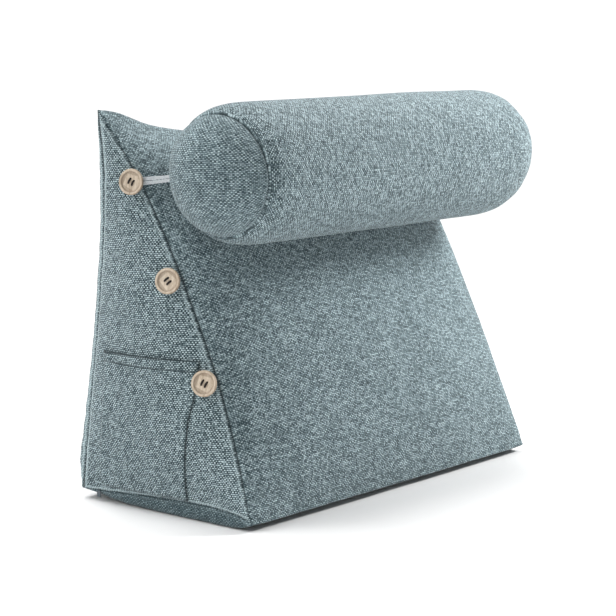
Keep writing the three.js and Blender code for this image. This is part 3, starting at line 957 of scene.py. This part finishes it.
def wedge_map(polygon, place):
    if polygon.material_index == SIDE:
        return place.y, place.z
    if polygon.material_index == BASE:
        return (place.y, place.z + 0.7) if abs(polygon.normal.x) > 0.6 else (place.x, -place.y)
    if polygon.normal.y > 0.2:
        return place.x + 2.0, place.z
    return place.x, place.y * SLOPE_RUN[0] + place.z * SLOPE_RUN[1]


map_by_panel(wedge, wedge_map)
make_active(wedge)
bpy.ops.object.shade_smooth()
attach(wedge, "root")
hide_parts("wedge_cushion")
print("wedge mapped")

# %% [markdown]
# ## The neck roll
# The roll is a tube of the same cloth with a round cap sewn in at each end. Its yarns run round
# it, so its streaks stand upright. The end seams are rings, and the caps bulge past them.

# %% Copy the roll and find its caps
ROLL_SEAM_HALF = 280 * MM
END_SEAM_RADIUS = ROLL_RADIUS * 0.84
ROLL_LEAN = 9 * MM
BODY, CAP = range(2)


def roll_seam(side, share):
    angle = 2 * math.pi * share
    lift = END_SEAM_RADIUS * math.sin(angle)
    out = ROLL_SEAM_HALF + ROLL_LEAN * max(0.0, lift / ROLL_RADIUS)
    return ROLL_AXIS + Vector((side * out, END_SEAM_RADIUS * math.cos(angle), lift))


roll_seams = {
    "left_end": seam_line(lambda t: roll_seam(-1, t)),
    "right_end": seam_line(lambda t: roll_seam(1, t)),
}
roll = welded_copy("neck_roll", "stuffed_neck_roll")
mark_seams(roll, roll_seams, {name: 1.0 for name in roll_seams})
paired_into_quads(roll)
roll.data.materials.append(roll_cloth)
roll.data.materials.append(cap_cloth)
for faces in panels_between_seams(roll):
    middle = sum((roll.data.polygons[i].center for i in faces), Vector()) / len(faces)
    cover_panel(roll, faces, CAP if abs(middle.x) > ROLL_SEAM_HALF / 2 else BODY)
print("roll", len(roll.data.polygons), "faces")

# %% Fill the roll
ROLL_SLACK = 0.6 * MM
ROLL_SLACK_REACH = 30 * MM
ROLL_SWELL = 2.5 * MM
CAP_SWELL = 7.5 * MM
ROLL_RELIEF = 1.2 * MM


def out_from_axis(places):
    """How far each point is from the roll's axis, as a share of the end seam's radius."""
    return np.hypot(places[:, 1] - ROLL_AXIS.y, places[:, 2] - ROLL_AXIS.z) / END_SEAM_RADIUS


roll_finder = SeamFinder(roll_seams)
filled(roll, roll_finder, ROLL_SLACK, ROLL_SLACK_REACH, ROLL_SWELL)
places = points_of(roll)
beyond = np.abs(places[:, 0]) > ROLL_SEAM_HALF
bulge = CAP_SWELL * np.clip(1 - out_from_axis(places) ** 2, 0, 1)
places[:, 0] += np.sign(places[:, 0]) * np.where(beyond, bulge, 0)
set_points(roll, places)
print("caps swollen by up to", round(bulge.max() * 1000, 1), "mm")

# %% Press the end seams in
for reach in (9 * MM, 4 * MM):
    finer_near_seams(roll, roll_finder, reach)
places = points_of(roll)
height, distance, shades = seam_relief(places, roll_finder, ROLL_RELIEF, ROLL_RELIEF)
set_points(roll, places + normals_of(roll) * height[:, None])
# The end seam's painted groove shade is darker over the roll's upper half and fades towards its bottom.
lift = (places[:, 2] - ROLL_AXIS.z) / END_SEAM_RADIUS
shades[:, 0] = np.clip(0.7 + 0.5 * lift, 0.2, 0.85)
write_shades(roll, distance, shades)
print("roll", len(roll.data.polygons), "faces after the seams")

# %% Lay the roll's map
CAP_CENTRE = 244 * MM
CAP_RADIUS = 84 * MM


def roll_map(polygon, place):
    if polygon.material_index == CAP:
        away = math.hypot(place.y - ROLL_AXIS.y, place.z - ROLL_AXIS.z)
        eased = CAP_RADIUS * math.atan2(away, abs(place.x) - CAP_CENTRE) / max(away, 1e-6)
        return (place.y - ROLL_AXIS.y) * eased, (place.z - ROLL_AXIS.z) * eased
    middle = math.atan2(polygon.center.y - ROLL_AXIS.y, polygon.center.z - ROLL_AXIS.z)
    angle = math.atan2(place.y - ROLL_AXIS.y, place.z - ROLL_AXIS.z)
    angle -= 2 * math.pi * round((angle - middle) / (2 * math.pi))
    return angle * ROLL_RADIUS, place.x


map_by_panel(roll, roll_map)
make_active(roll)
bpy.ops.object.shade_smooth()
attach(roll, "root")
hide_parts("neck_roll")
print("roll", len(roll.data.polygons), "faces")

# %% [markdown]
# ## The side pocket
# The pocket is one flat piece of cloth with a folded hem at its mouth. Its edges are turned
# under and sewn to the side panel, so they make a soft step, and the mouth gapes a little. A
# grid takes the pocket's outline, is dropped on the wedge's own surface, and gets a thickness.

# %% The pocket's outline and layers
POCKET_REAR_EDGE = [(94, 200), (94.5, 136), (98, 80), (104, 23)]
POCKET_FRONT_EDGE = [(-57, 200.5), (-55.5, 152), (-50.5, 126), (-48.5, 94), (-47, 63), (-43, 24)]
POCKET_WIDE = 152
POCKET_TALL = 177
HEM_STITCH = 0.925
POCKET_CLEARANCE = 0.5 * MM
TURNED_UNDER = 1.0 * MM
TURNED_WIDTH = 5 * MM
MOUTH_GAPE = 2.4 * MM
NOTCH_GAPE = 3.0 * MM
HEM_LAYER = 0.9 * MM
STITCH_PULL = 1.1 * MM


def along_edge(edge, share):
    """The place on an edge at this share of its height, from its foot (0) to the mouth (1)."""
    heights = [z for _, z in reversed(edge)]
    height = heights[0] + share * (heights[-1] - heights[0])
    return np.interp(height, heights, [y for y, _ in reversed(edge)]) * MM, height * MM


def pocket_lift(column, row):
    """How far the pocket's inner face stands off the side panel."""
    across, up = POCKET_WIDE * MM, POCKET_TALL * MM
    from_edge = min(column * across, (1 - column) * across, row * up)
    turned_under = TURNED_UNDER * bell(from_edge, TURNED_WIDTH, 4 * MM)
    edge_drop = 1 - bell(from_edge, 0, 1.6 * MM)
    notch = NOTCH_GAPE * bell(column, 0.08, 0.06)
    gape = (notch + MOUTH_GAPE * math.sin(math.pi * column)) * bell(row, 1, 0.07)
    hem = HEM_LAYER / (1 + math.exp(-(row - HEM_STITCH) / 0.006))
    stitch = STITCH_PULL * bell(row, HEM_STITCH, 0.008)
    return POCKET_CLEARANCE + turned_under * edge_drop + gape + (hem - stitch) * edge_drop


def pocket_shade(column, row):
    """How far a point of the pocket is from its dark lines, in millimetres, and how dark they are."""
    mouth = abs(1 - row) * POCKET_TALL
    stitch = abs(row - HEM_STITCH) * POCKET_TALL
    front, rear = (1 - column) * POCKET_WIDE, column * POCKET_WIDE
    near_notch = bell(column, 0.1, 0.1)
    # The mouth line and the edge lines are painted shade; the hem's stitch line is partly the thread's
    # colour and partly painted groove shade.
    mouth_line = (mouth * (0.55 - 0.2 * near_notch), 1.0)
    return min(mouth_line, (stitch * 0.7, 0.8), (front * 0.6, 0.95), (rear * 0.9, 0.35))


print("hem stitched", round((1 - HEM_STITCH) * POCKET_TALL), "mm below the pocket's mouth")

# %% Lay the pocket on the side panel
POCKET_ROWS = 64
POCKET_COLUMNS = 60
POCKET_CLOTH = 1.3 * MM


def pocket_place(surface, column, row):
    """Where a column and row of the pocket meet a surface, and the way it faces there."""
    rear, front = along_edge(POCKET_REAR_EDGE, row), along_edge(POCKET_FRONT_EDGE, row)
    y = rear[0] + (front[0] - rear[0]) * column
    z = rear[1] + (front[1] - rear[1]) * column
    hit, normal, _, _ = surface.ray_cast(Vector((-0.5, y, z)), Vector((1, 0, 0)))
    return hit, normal


def closer_at_edges(x, y):
    """The grid's place as a column and row that lie closer together where the cloth bends."""
    turn = math.cos(math.pi * x)
    column = 0.5 - 0.5 * turn * (0.35 + 0.65 * abs(turn))
    return column, float(np.interp(y, [0, 0.6, 1], [0, 0.88, 1]))


def side_pocket():
    deselect_all()
    bpy.ops.mesh.primitive_grid_add(x_subdivisions=POCKET_COLUMNS, y_subdivisions=POCKET_ROWS, size=1)
    pocket = bpy.context.object
    pocket.name = "patch_pocket"
    side_panel = surface_of(wedge)
    places, shades = [], []
    for vertex in pocket.data.vertices:
        column, row = closer_at_edges(vertex.co.x + 0.5, vertex.co.y + 0.5)
        shades.append(pocket_shade(column, row))
        hit, normal = pocket_place(side_panel, column, row)
        wave = 0.7 * MM * noise.noise(Vector((hit.y, hit.z, 4.0)) / (35 * MM))
        smooth = Vector((-1, normal.y * 0.5, normal.z * 0.5)).normalized()
        places.append(hit + smooth * (pocket_lift(column, row) + max(0.0, wave)))
    set_points(pocket, [tuple(p) for p in places])
    # The pocket's dark lines, painted shade at its mouth and edges, use the same attributes as the seams'.
    write_attribute(pocket, "seam_distance", [distance for distance, _ in shades])
    write_attribute(pocket, "seam_shade_strength", [strength for _, strength in shades])
    with editing():
        bpy.ops.mesh.select_all(action="SELECT")
        bpy.ops.mesh.normals_make_consistent(inside=False)
    if pocket.data.polygons[len(pocket.data.polygons) // 2].normal.x > 0:
        pocket.data.flip_normals()
    return pocket


def thickened(piece, thickness):
    """Gives a sheet its thickness on the outer side."""
    modifier = piece.modifiers.new("thickness", "SOLIDIFY")
    modifier.thickness = thickness
    modifier.offset = 1
    apply_all_modifiers(piece)


pocket_cloth = heather_cloth("pocket_cloth", 1.5, 1.7, SIDE_PITCH, contrast=1.4, lightness=-0.01)
pocket = side_pocket()
thickened(pocket, POCKET_CLOTH)
pocket.data.uv_layers.remove(pocket.data.uv_layers[0])
map_by_panel(pocket, lambda polygon, place: (place.y, place.z))
pocket.data.materials.append(pocket_cloth)
make_active(pocket)
bpy.ops.object.shade_smooth()
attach(pocket, "root")
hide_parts("side_pocket")
print("pocket", len(pocket.data.polygons), "faces")

# %% [markdown]
# ## The hem's stitches
# A row of short stitches holds the pocket's hem. One stitch is a small ball drawn out
# long, so that it dips into the cloth at both ends, and the row is made of copies of it.

# %% Sew the hem
STITCH_LENGTH = 3.2 * MM
STITCH_PITCH = 4.3 * MM
STITCH_THICKNESS = 0.7 * MM


def speckled_finish(name, scale, tones, roughness, bump=0.0, bump_depth=0.0, detail=2.0):
    """A finish whose colour, and height if it has a bump, vary in fine specks."""
    recipe = Recipe(name)
    specks = recipe.cloud(recipe.object_point(), scale, detail)
    recipe.finish(recipe.ramp(specks, tones), roughness)
    if bump:
        recipe.relief(specks, bump, bump_depth)
    return recipe.material


def thread_finish(name, colour):
    dark = tuple(0.45 * c for c in colour)
    return speckled_finish(name, 2400, [(0.3, dark), (0.7, colour)], 0.7, 0.5, 0.15 * MM)


def one_stitch():
    deselect_all()
    bpy.ops.mesh.primitive_uv_sphere_add(segments=8, ring_count=6, radius=0.5)
    stitch = bpy.context.object
    with editing():
        bpy.ops.transform.resize(value=(STITCH_LENGTH, STITCH_THICKNESS, STITCH_THICKNESS))
    return stitch


def joined(pieces, name):
    deselect_all()
    for piece in pieces:
        piece.select_set(True)
    bpy.context.view_layer.objects.active = pieces[0]
    bpy.ops.object.join()
    pieces[0].name = name
    return pieces[0]


def placed_copy(piece, matrix):
    """A copy with its own mesh, moved in its mesh, so that the object stays at the origin."""
    copy = bpy.data.objects.new(piece.name, piece.data.copy())
    bpy.context.scene.collection.objects.link(copy)
    copy.data.transform(matrix)
    return copy


def frame_at(place, along, up):
    """A turned and moved frame: X along, Z up."""
    x = along.normalized()
    y = up.cross(x).normalized()
    z = x.cross(y)
    turned = Matrix((x, y, z)).transposed().to_4x4()
    turned.translation = place
    return turned


def hem_stitches():
    outer = surface_of(pocket)
    line = [pocket_place(outer, share, HEM_STITCH) for share in np.linspace(0.04, 0.965, 300)]
    model = one_stitch()
    stitches = []
    run = 0.0
    for (before, _), (place, normal) in zip(line, line[1:]):
        run += (place - before).length
        if run >= STITCH_PITCH:
            run = 0.0
            stitches.append(placed_copy(model, frame_at(place + normal * 0.1 * MM, place - before, normal)))
    bpy.data.objects.remove(model)
    return joined(stitches, "hem_stitches")


stitches = hem_stitches()
stitches.data.materials.append(thread_finish("slate_thread", (0.10, 0.14, 0.16)))
make_active(stitches)
bpy.ops.object.shade_smooth()
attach(stitches, "root")
print("stitches", len(stitches.data.polygons), "faces")

# %% [markdown]
# ## The wooden buttons
# A turned button is a flat disc with a raised rim, a shallow dish and four holes. We start from a
# cylinder, inset its face for the rim, sink the dish, bevel the edges and drill the holes. Dark
# thread crosses the dish in two bars. One button is modelled, and the others are copies of it.

# %% Turn one button
BUTTON_RADIUS = 16.5 * MM
BUTTON_THICKNESS = 4.4 * MM
BUTTON_RIM = 3.0 * MM
BUTTON_DISH = 1.9 * MM
HOLE_RADIUS = 1.35 * MM
HOLE_ACROSS = 5.4 * MM
HOLE_ALONG = 6.4 * MM


def unselect_all(kind):
    with editing(kind):
        bpy.ops.mesh.select_all(action="DESELECT")


def inset_faces(piece, test, steps):
    """Insets the faces whose normal passes the test, once for each step's width and depth."""
    unselect_all("FACE")
    for polygon in piece.data.polygons:
        polygon.select = bool(test(polygon.normal))
    with editing():
        for width, depth in steps:
            bpy.ops.mesh.inset(thickness=width, depth=depth)


def on_ring(place, radius, height):
    return abs(math.hypot(place.x, place.y) - radius) < WELD_REACH and abs(place.z - height) < WELD_REACH


def bevel_ring(piece, radius, height, width, segments):
    """Bevels the edges that lie on a ring about Z."""
    make_active(piece)
    unselect_all("EDGE")
    unselected(piece.data.polygons, piece.data.vertices)
    for edge in piece.data.edges:
        edge.select = all(on_ring(piece.data.vertices[i].co, radius, height) for i in edge.vertices)
    with editing():
        bpy.ops.mesh.bevel(offset=width, segments=segments)


def turned_disc():
    deselect_all()
    bpy.ops.mesh.primitive_cylinder_add(
        vertices=72, radius=BUTTON_RADIUS, depth=BUTTON_THICKNESS, location=(0, 0, 0))
    button = bpy.context.object
    inset_faces(button, lambda normal: normal.z > 0.9, [(BUTTON_RIM, 0), (1.4 * MM, -BUTTON_DISH)])
    top = BUTTON_THICKNESS / 2
    bevel_ring(button, BUTTON_RADIUS, top, 1.1 * MM, 4)
    bevel_ring(button, BUTTON_RADIUS, -top, 1.5 * MM, 3)
    bevel_ring(button, BUTTON_RADIUS - BUTTON_RIM, top, 0.7 * MM, 3)
    return button


def drill_holes(button):
    drills = []
    for x in (-1, 1):
        for y in (-1, 1):
            deselect_all()
            bpy.ops.mesh.primitive_cylinder_add(vertices=20, radius=HOLE_RADIUS, depth=20 * MM,
                                                location=(x * HOLE_ACROSS / 2, y * HOLE_ALONG / 2, 0))
            drills.append(bpy.context.object)
    drill = joined(drills, "drill")
    make_active(drill)
    bpy.ops.object.transform_apply(location=True, rotation=True, scale=True)
    cut = button.modifiers.new("holes", "BOOLEAN")
    cut.operation = "DIFFERENCE"
    cut.solver = "EXACT"
    cut.object = drill
    apply_all_modifiers(button)
    bpy.data.objects.remove(drill)


def write_radius(button):
    """Writes how far each point is from the turning axis, in millimetres, for the rings of painted shade.
    """
    places = points_of(button)
    write_attribute(button, "turned_radius", np.hypot(places[:, 0], places[:, 1]) / MM)


button_model = turned_disc()
drill_holes(button_model)
write_radius(button_model)
make_active(button_model)
bpy.ops.object.shade_smooth_by_angle(angle=math.radians(35))
print("button", len(button_model.data.polygons), "faces")

# %% Dark thread for one button
STRAND_RADIUS = 0.55 * MM
STRANDS = 3
STRAND_PITCH = STRAND_RADIUS * 1.6
THREAD_SUNK = 1.6 * MM
THREAD_RISE = 2.6
MIDDLE_RISE = 0.25


def tube_through(name, places, radius, sides=8):
    """A round tube through a row of places."""
    curve = bpy.data.curves.new(name, "CURVE")
    curve.dimensions = "3D"
    curve.bevel_depth = radius
    curve.bevel_resolution = max(0, sides // 4 - 1)
    curve.use_fill_caps = True
    spline = curve.splines.new("POLY")
    spline.points.add(len(places) - 1)
    for point, place in zip(spline.points, places):
        point.co = (*place, 1)
    tube = bpy.data.objects.new(name, curve)
    bpy.context.scene.collection.objects.link(tube)
    make_active(tube)
    bpy.ops.object.convert(target="MESH")
    return bpy.context.object


def thread_bars():
    dish = BUTTON_THICKNESS / 2 - BUTTON_DISH
    bars = []
    for bar in (-1, 1):
        for strand in range(STRANDS):
            x = bar * HOLE_ACROSS / 2 + (strand - (STRANDS - 1) / 2) * STRAND_PITCH
            places = []
            for step in range(11):
                share = step / 10
                y = (share - 0.5) * (HOLE_ALONG + 1.2 * MM)
                rise = math.sin(math.pi * share) ** 0.45
                z = dish - THREAD_SUNK + (THREAD_RISE + MIDDLE_RISE * (strand == 1)) * MM * rise
                places.append((x, y, z))
            bars.append(tube_through("strand", places, STRAND_RADIUS))
    return joined(bars, "thread_bars")


thread_model = thread_bars()
make_active(thread_model)
bpy.ops.object.shade_smooth()
print("thread", len(thread_model.data.polygons), "faces")

# %% Pale wood
WOOD_TONES = [(0.38, (0.32, 0.24, 0.165)), (0.55, (0.53, 0.435, 0.33)), (0.72, (0.67, 0.575, 0.46))]
# The colour of the painted shade where the dish meets the rim and at the outer edge, and where those rings
# lie.
WOOD_PAINTED_SHADE = (0.16, 0.105, 0.065, 1)
PAINTED_SHADE_RINGS = ((12.6, 1.0, 0.55), (16.5, 1.0, 0.5))


def pale_wood():
    """Fine straight grain, with painted shade in a ring round the dish and at the rim."""
    recipe = Recipe("pale_wood")
    x, y, z = recipe.parts(recipe.object_point())
    grain_place = recipe.point(recipe.maths("MULTIPLY", x, 0.5), y, recipe.maths("MULTIPLY", z, 0.14))
    grain = recipe.cloud(grain_place, 1500, 3, 0.6)
    bands = recipe.cloud(grain_place, 260)
    level = recipe.maths("MULTIPLY_ADD", grain, 0.6, recipe.maths("MULTIPLY", bands, 0.55))
    colour = recipe.ramp(level, WOOD_TONES)
    radius = recipe.attribute("turned_radius")
    # Painted shade: a dark ring where the dish meets the rim, and one at the outer edge.
    for middle, reach, depth in PAINTED_SHADE_RINGS:
        ring = recipe.maths("MULTIPLY", recipe.hump(radius, middle, reach), depth)
        colour = recipe.blend(ring, colour, WOOD_PAINTED_SHADE)
    recipe.finish(colour, 0.5)
    recipe.relief(grain, 0.25, 0.15 * MM)
    return recipe.material


wood = pale_wood()
dark_thread = thread_finish("dark_thread", (0.022, 0.014, 0.010))
print("finishes", wood.name, dark_thread.name)

# %% Sew the buttons on
THREAD_TURN = {"top": 27.7, "middle": 48.9, "bottom": 25.1}
BUTTON_CLEARANCE = 0.35 * MM
DENT_DEPTH = 1.6 * MM
DENT_REACH = 15 * MM
DENT_LIMIT = 45 * MM
DENT_LIMIT_HEIGHT = 25 * MM
DENT_SLOPE = 0.55


def seat_of(node):
    """The middle of a button's frame node, and the way it faces."""
    places = points_of(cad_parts[node])
    lowest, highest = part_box(node)
    middle = Vector((lowest + highest) / 2)
    normal = Vector(np.linalg.svd(places - places.mean(0), full_matrices=False)[2][2])
    if normal.x * middle.x < 0:
        normal.negate()
    return middle, normal


def dimple_under(piece, middle, normal):
    """Pulls the cloth in under a button, so that the button rests in a shallow dent."""
    back = middle - normal * (BUTTON_THICKNESS / 2 + BUTTON_CLEARANCE)
    places = points_of(piece)
    offset = places - np.array(back)
    height = offset @ np.array(normal)
    radius = np.linalg.norm(offset - height[:, None] * np.array(normal), axis=1)
    near = (radius < DENT_LIMIT) & (np.abs(height) < DENT_LIMIT_HEIGHT)
    dent = DENT_DEPTH * bell(radius, 0, DENT_REACH)
    rising = np.maximum(0, radius - BUTTON_RADIUS) * DENT_SLOPE
    target = np.minimum(height - dent, rising - 0.4 * dent)
    change = np.where(near, np.minimum(0, target - height), 0)
    set_points(piece, places + change[:, None] * np.array(normal))
    return float(-change.min())


def sew_button(side, word):
    name = f"button_{side}_{word}"
    middle, normal = seat_of(name)
    dent = dimple_under(wedge, middle, normal)
    sign = -1 if side == "left" else 1
    upright = (Vector((0, 0, 1)) - normal * normal.z).normalized()
    turn = Matrix.Rotation(math.radians(sign * THREAD_TURN[word]), 3, normal)
    along = turn @ upright
    place = frame_at(middle, along.cross(normal), normal)
    button = placed_copy(button_model, place)
    button.name = f"wood_{name}"
    button.data.materials.clear()
    button.data.materials.append(wood)
    thread = placed_copy(thread_model, place)
    thread.name = f"thread_{name}"
    thread.data.materials.append(dark_thread)
    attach(button, "root")
    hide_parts(name)
    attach(thread, "root")
    return middle, normal, dent


seats = {}
for side in ("left", "right"):
    for word in THREAD_TURN:
        middle, normal, dent = sew_button(side, word)
        seats[side, word] = (middle, normal)
        print("button", side, word, "dent", round(dent * 1000, 2), "mm")
bpy.data.objects.remove(button_model)
bpy.data.objects.remove(thread_model)

# %% [markdown]
# ## The elastic loops
# A ribbed elastic leaves the roll's end seam, turns round the top button's thread and comes back.
# Each strand is three round ribs side by side, so a tube is drawn through the same bend three
# times, each a little further out.

# %% Loop the elastic over the top buttons
RIB_RADIUS = 0.85 * MM
RIB_PITCH = (1.65 * MM, 1.05 * MM)
LOOP_RADIUS = 2.9 * MM
LOOP_END_HALF = 2.0 * MM
LOOP_STEPS = 14
LOOP_UNDER_BUTTON = 1.2 * MM
LOOP_END_OUT = 282 * MM
LOOP_END_HEIGHT = 424 * MM


def bend_place(points, t):
    a, b, c, d = points
    return a * (1 - t) ** 3 + b * 3 * t * (1 - t) ** 2 + c * 3 * t * t * (1 - t) + d * t ** 3


def loop_rib(points, normal, place_in_strand):
    """One rib: along a strand to the button, half a turn round its thread, and back."""
    outward, back = [], []
    for step in range(LOOP_STEPS + 1):
        t = step / LOOP_STEPS
        place = bend_place(points, t)
        tangent = (bend_place(points, t + 0.01) - bend_place(points, t - 0.01)).normalized()
        across = tangent.cross(normal).normalized()
        offset = place_in_strand * (RIB_PITCH[0] + (RIB_PITCH[1] - RIB_PITCH[0]) * t)
        half = LOOP_RADIUS + (LOOP_END_HALF - LOOP_RADIUS) * t + offset
        outward.append(place + across * half)
        back.append(place - across * half)
        if step == 0:
            first, first_across, first_tangent = place, across, tangent
    turn = []
    for step in range(1, LOOP_STEPS):
        angle = math.pi * step / LOOP_STEPS
        spoke = first_across * math.cos(angle) - first_tangent * math.sin(angle)
        turn.append(first + spoke * (LOOP_RADIUS + place_in_strand * RIB_PITCH[0]))
    return outward[::-1] + turn + back


def elastic_loop(side):
    sign = -1 if side == "left" else 1
    middle, normal = seats[side, "top"]
    start = middle - normal * (BUTTON_THICKNESS / 2 + LOOP_UNDER_BUTTON)
    end = Vector((sign * LOOP_END_OUT, ROLL_AXIS.y + END_SEAM_RADIUS + 0.5 * MM, LOOP_END_HEIGHT))
    towards = end - start
    flat = towards - normal * towards.dot(normal)
    points = (start, start + flat * 0.35, start + flat * 0.7, end)
    ribs = [tube_through("rib", loop_rib(points, normal, shift), RIB_RADIUS) for shift in (-1, 0, 1)]
    loop = joined(ribs, f"elastic_{side}")
    loop.data.materials.append(elastic_finish)
    make_active(loop)
    bpy.ops.object.shade_smooth()
    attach(loop, "root")
    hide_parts(f"elastic_loop_{side}")
    return loop


ELASTIC_TONES = [(0.3, (0.30, 0.33, 0.35)), (0.7, (0.66, 0.69, 0.71))]
elastic_finish = speckled_finish("ribbed_elastic", 1300, ELASTIC_TONES, 0.8, 0.5, 0.2 * MM)
for side in ("left", "right"):
    print("elastic", side, len(elastic_loop(side).data.polygons), "faces")

# %% [markdown]
# ## The zip's pull
# The cover opens along its lower rear edge. Only the zip's small pull shows, hanging below the
# side seam near the rear corner. It is a flat plate with a sunk face, so a box takes an inset
# on both faces and a small bevel all round.

# %% Hang the pull
ENAMEL_TONES = [(0.35, (0.045, 0.06, 0.07)), (0.75, (0.10, 0.13, 0.15))]


def zip_pull():
    lowest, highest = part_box("zip_pull")
    deselect_all()
    bpy.ops.mesh.primitive_cube_add(size=1, location=(lowest + highest) / 2, scale=highest - lowest)
    pull = bpy.context.object
    pull.name = "zip_pull_plate"
    bpy.ops.object.transform_apply(location=True, rotation=True, scale=True)
    inset_faces(pull, lambda normal: abs(normal.x) > 0.9, [(1.2 * MM, -0.25 * MM)])
    rounding = pull.modifiers.new("rounding", "BEVEL")
    rounding.width = 0.35 * MM
    rounding.segments = 3
    apply_all_modifiers(pull)
    bpy.ops.object.shade_smooth_by_angle(angle=math.radians(40))
    pull.data.materials.append(speckled_finish("dark_enamel", 900, ENAMEL_TONES, 0.42, detail=3.0))
    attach(pull, "root")
    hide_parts("zip_pull")
    return pull


print("pull", len(zip_pull().data.polygons), "faces")

# %% [markdown]
# ## Check the size and finish
# The dressed pillow has to keep to the frame's size.
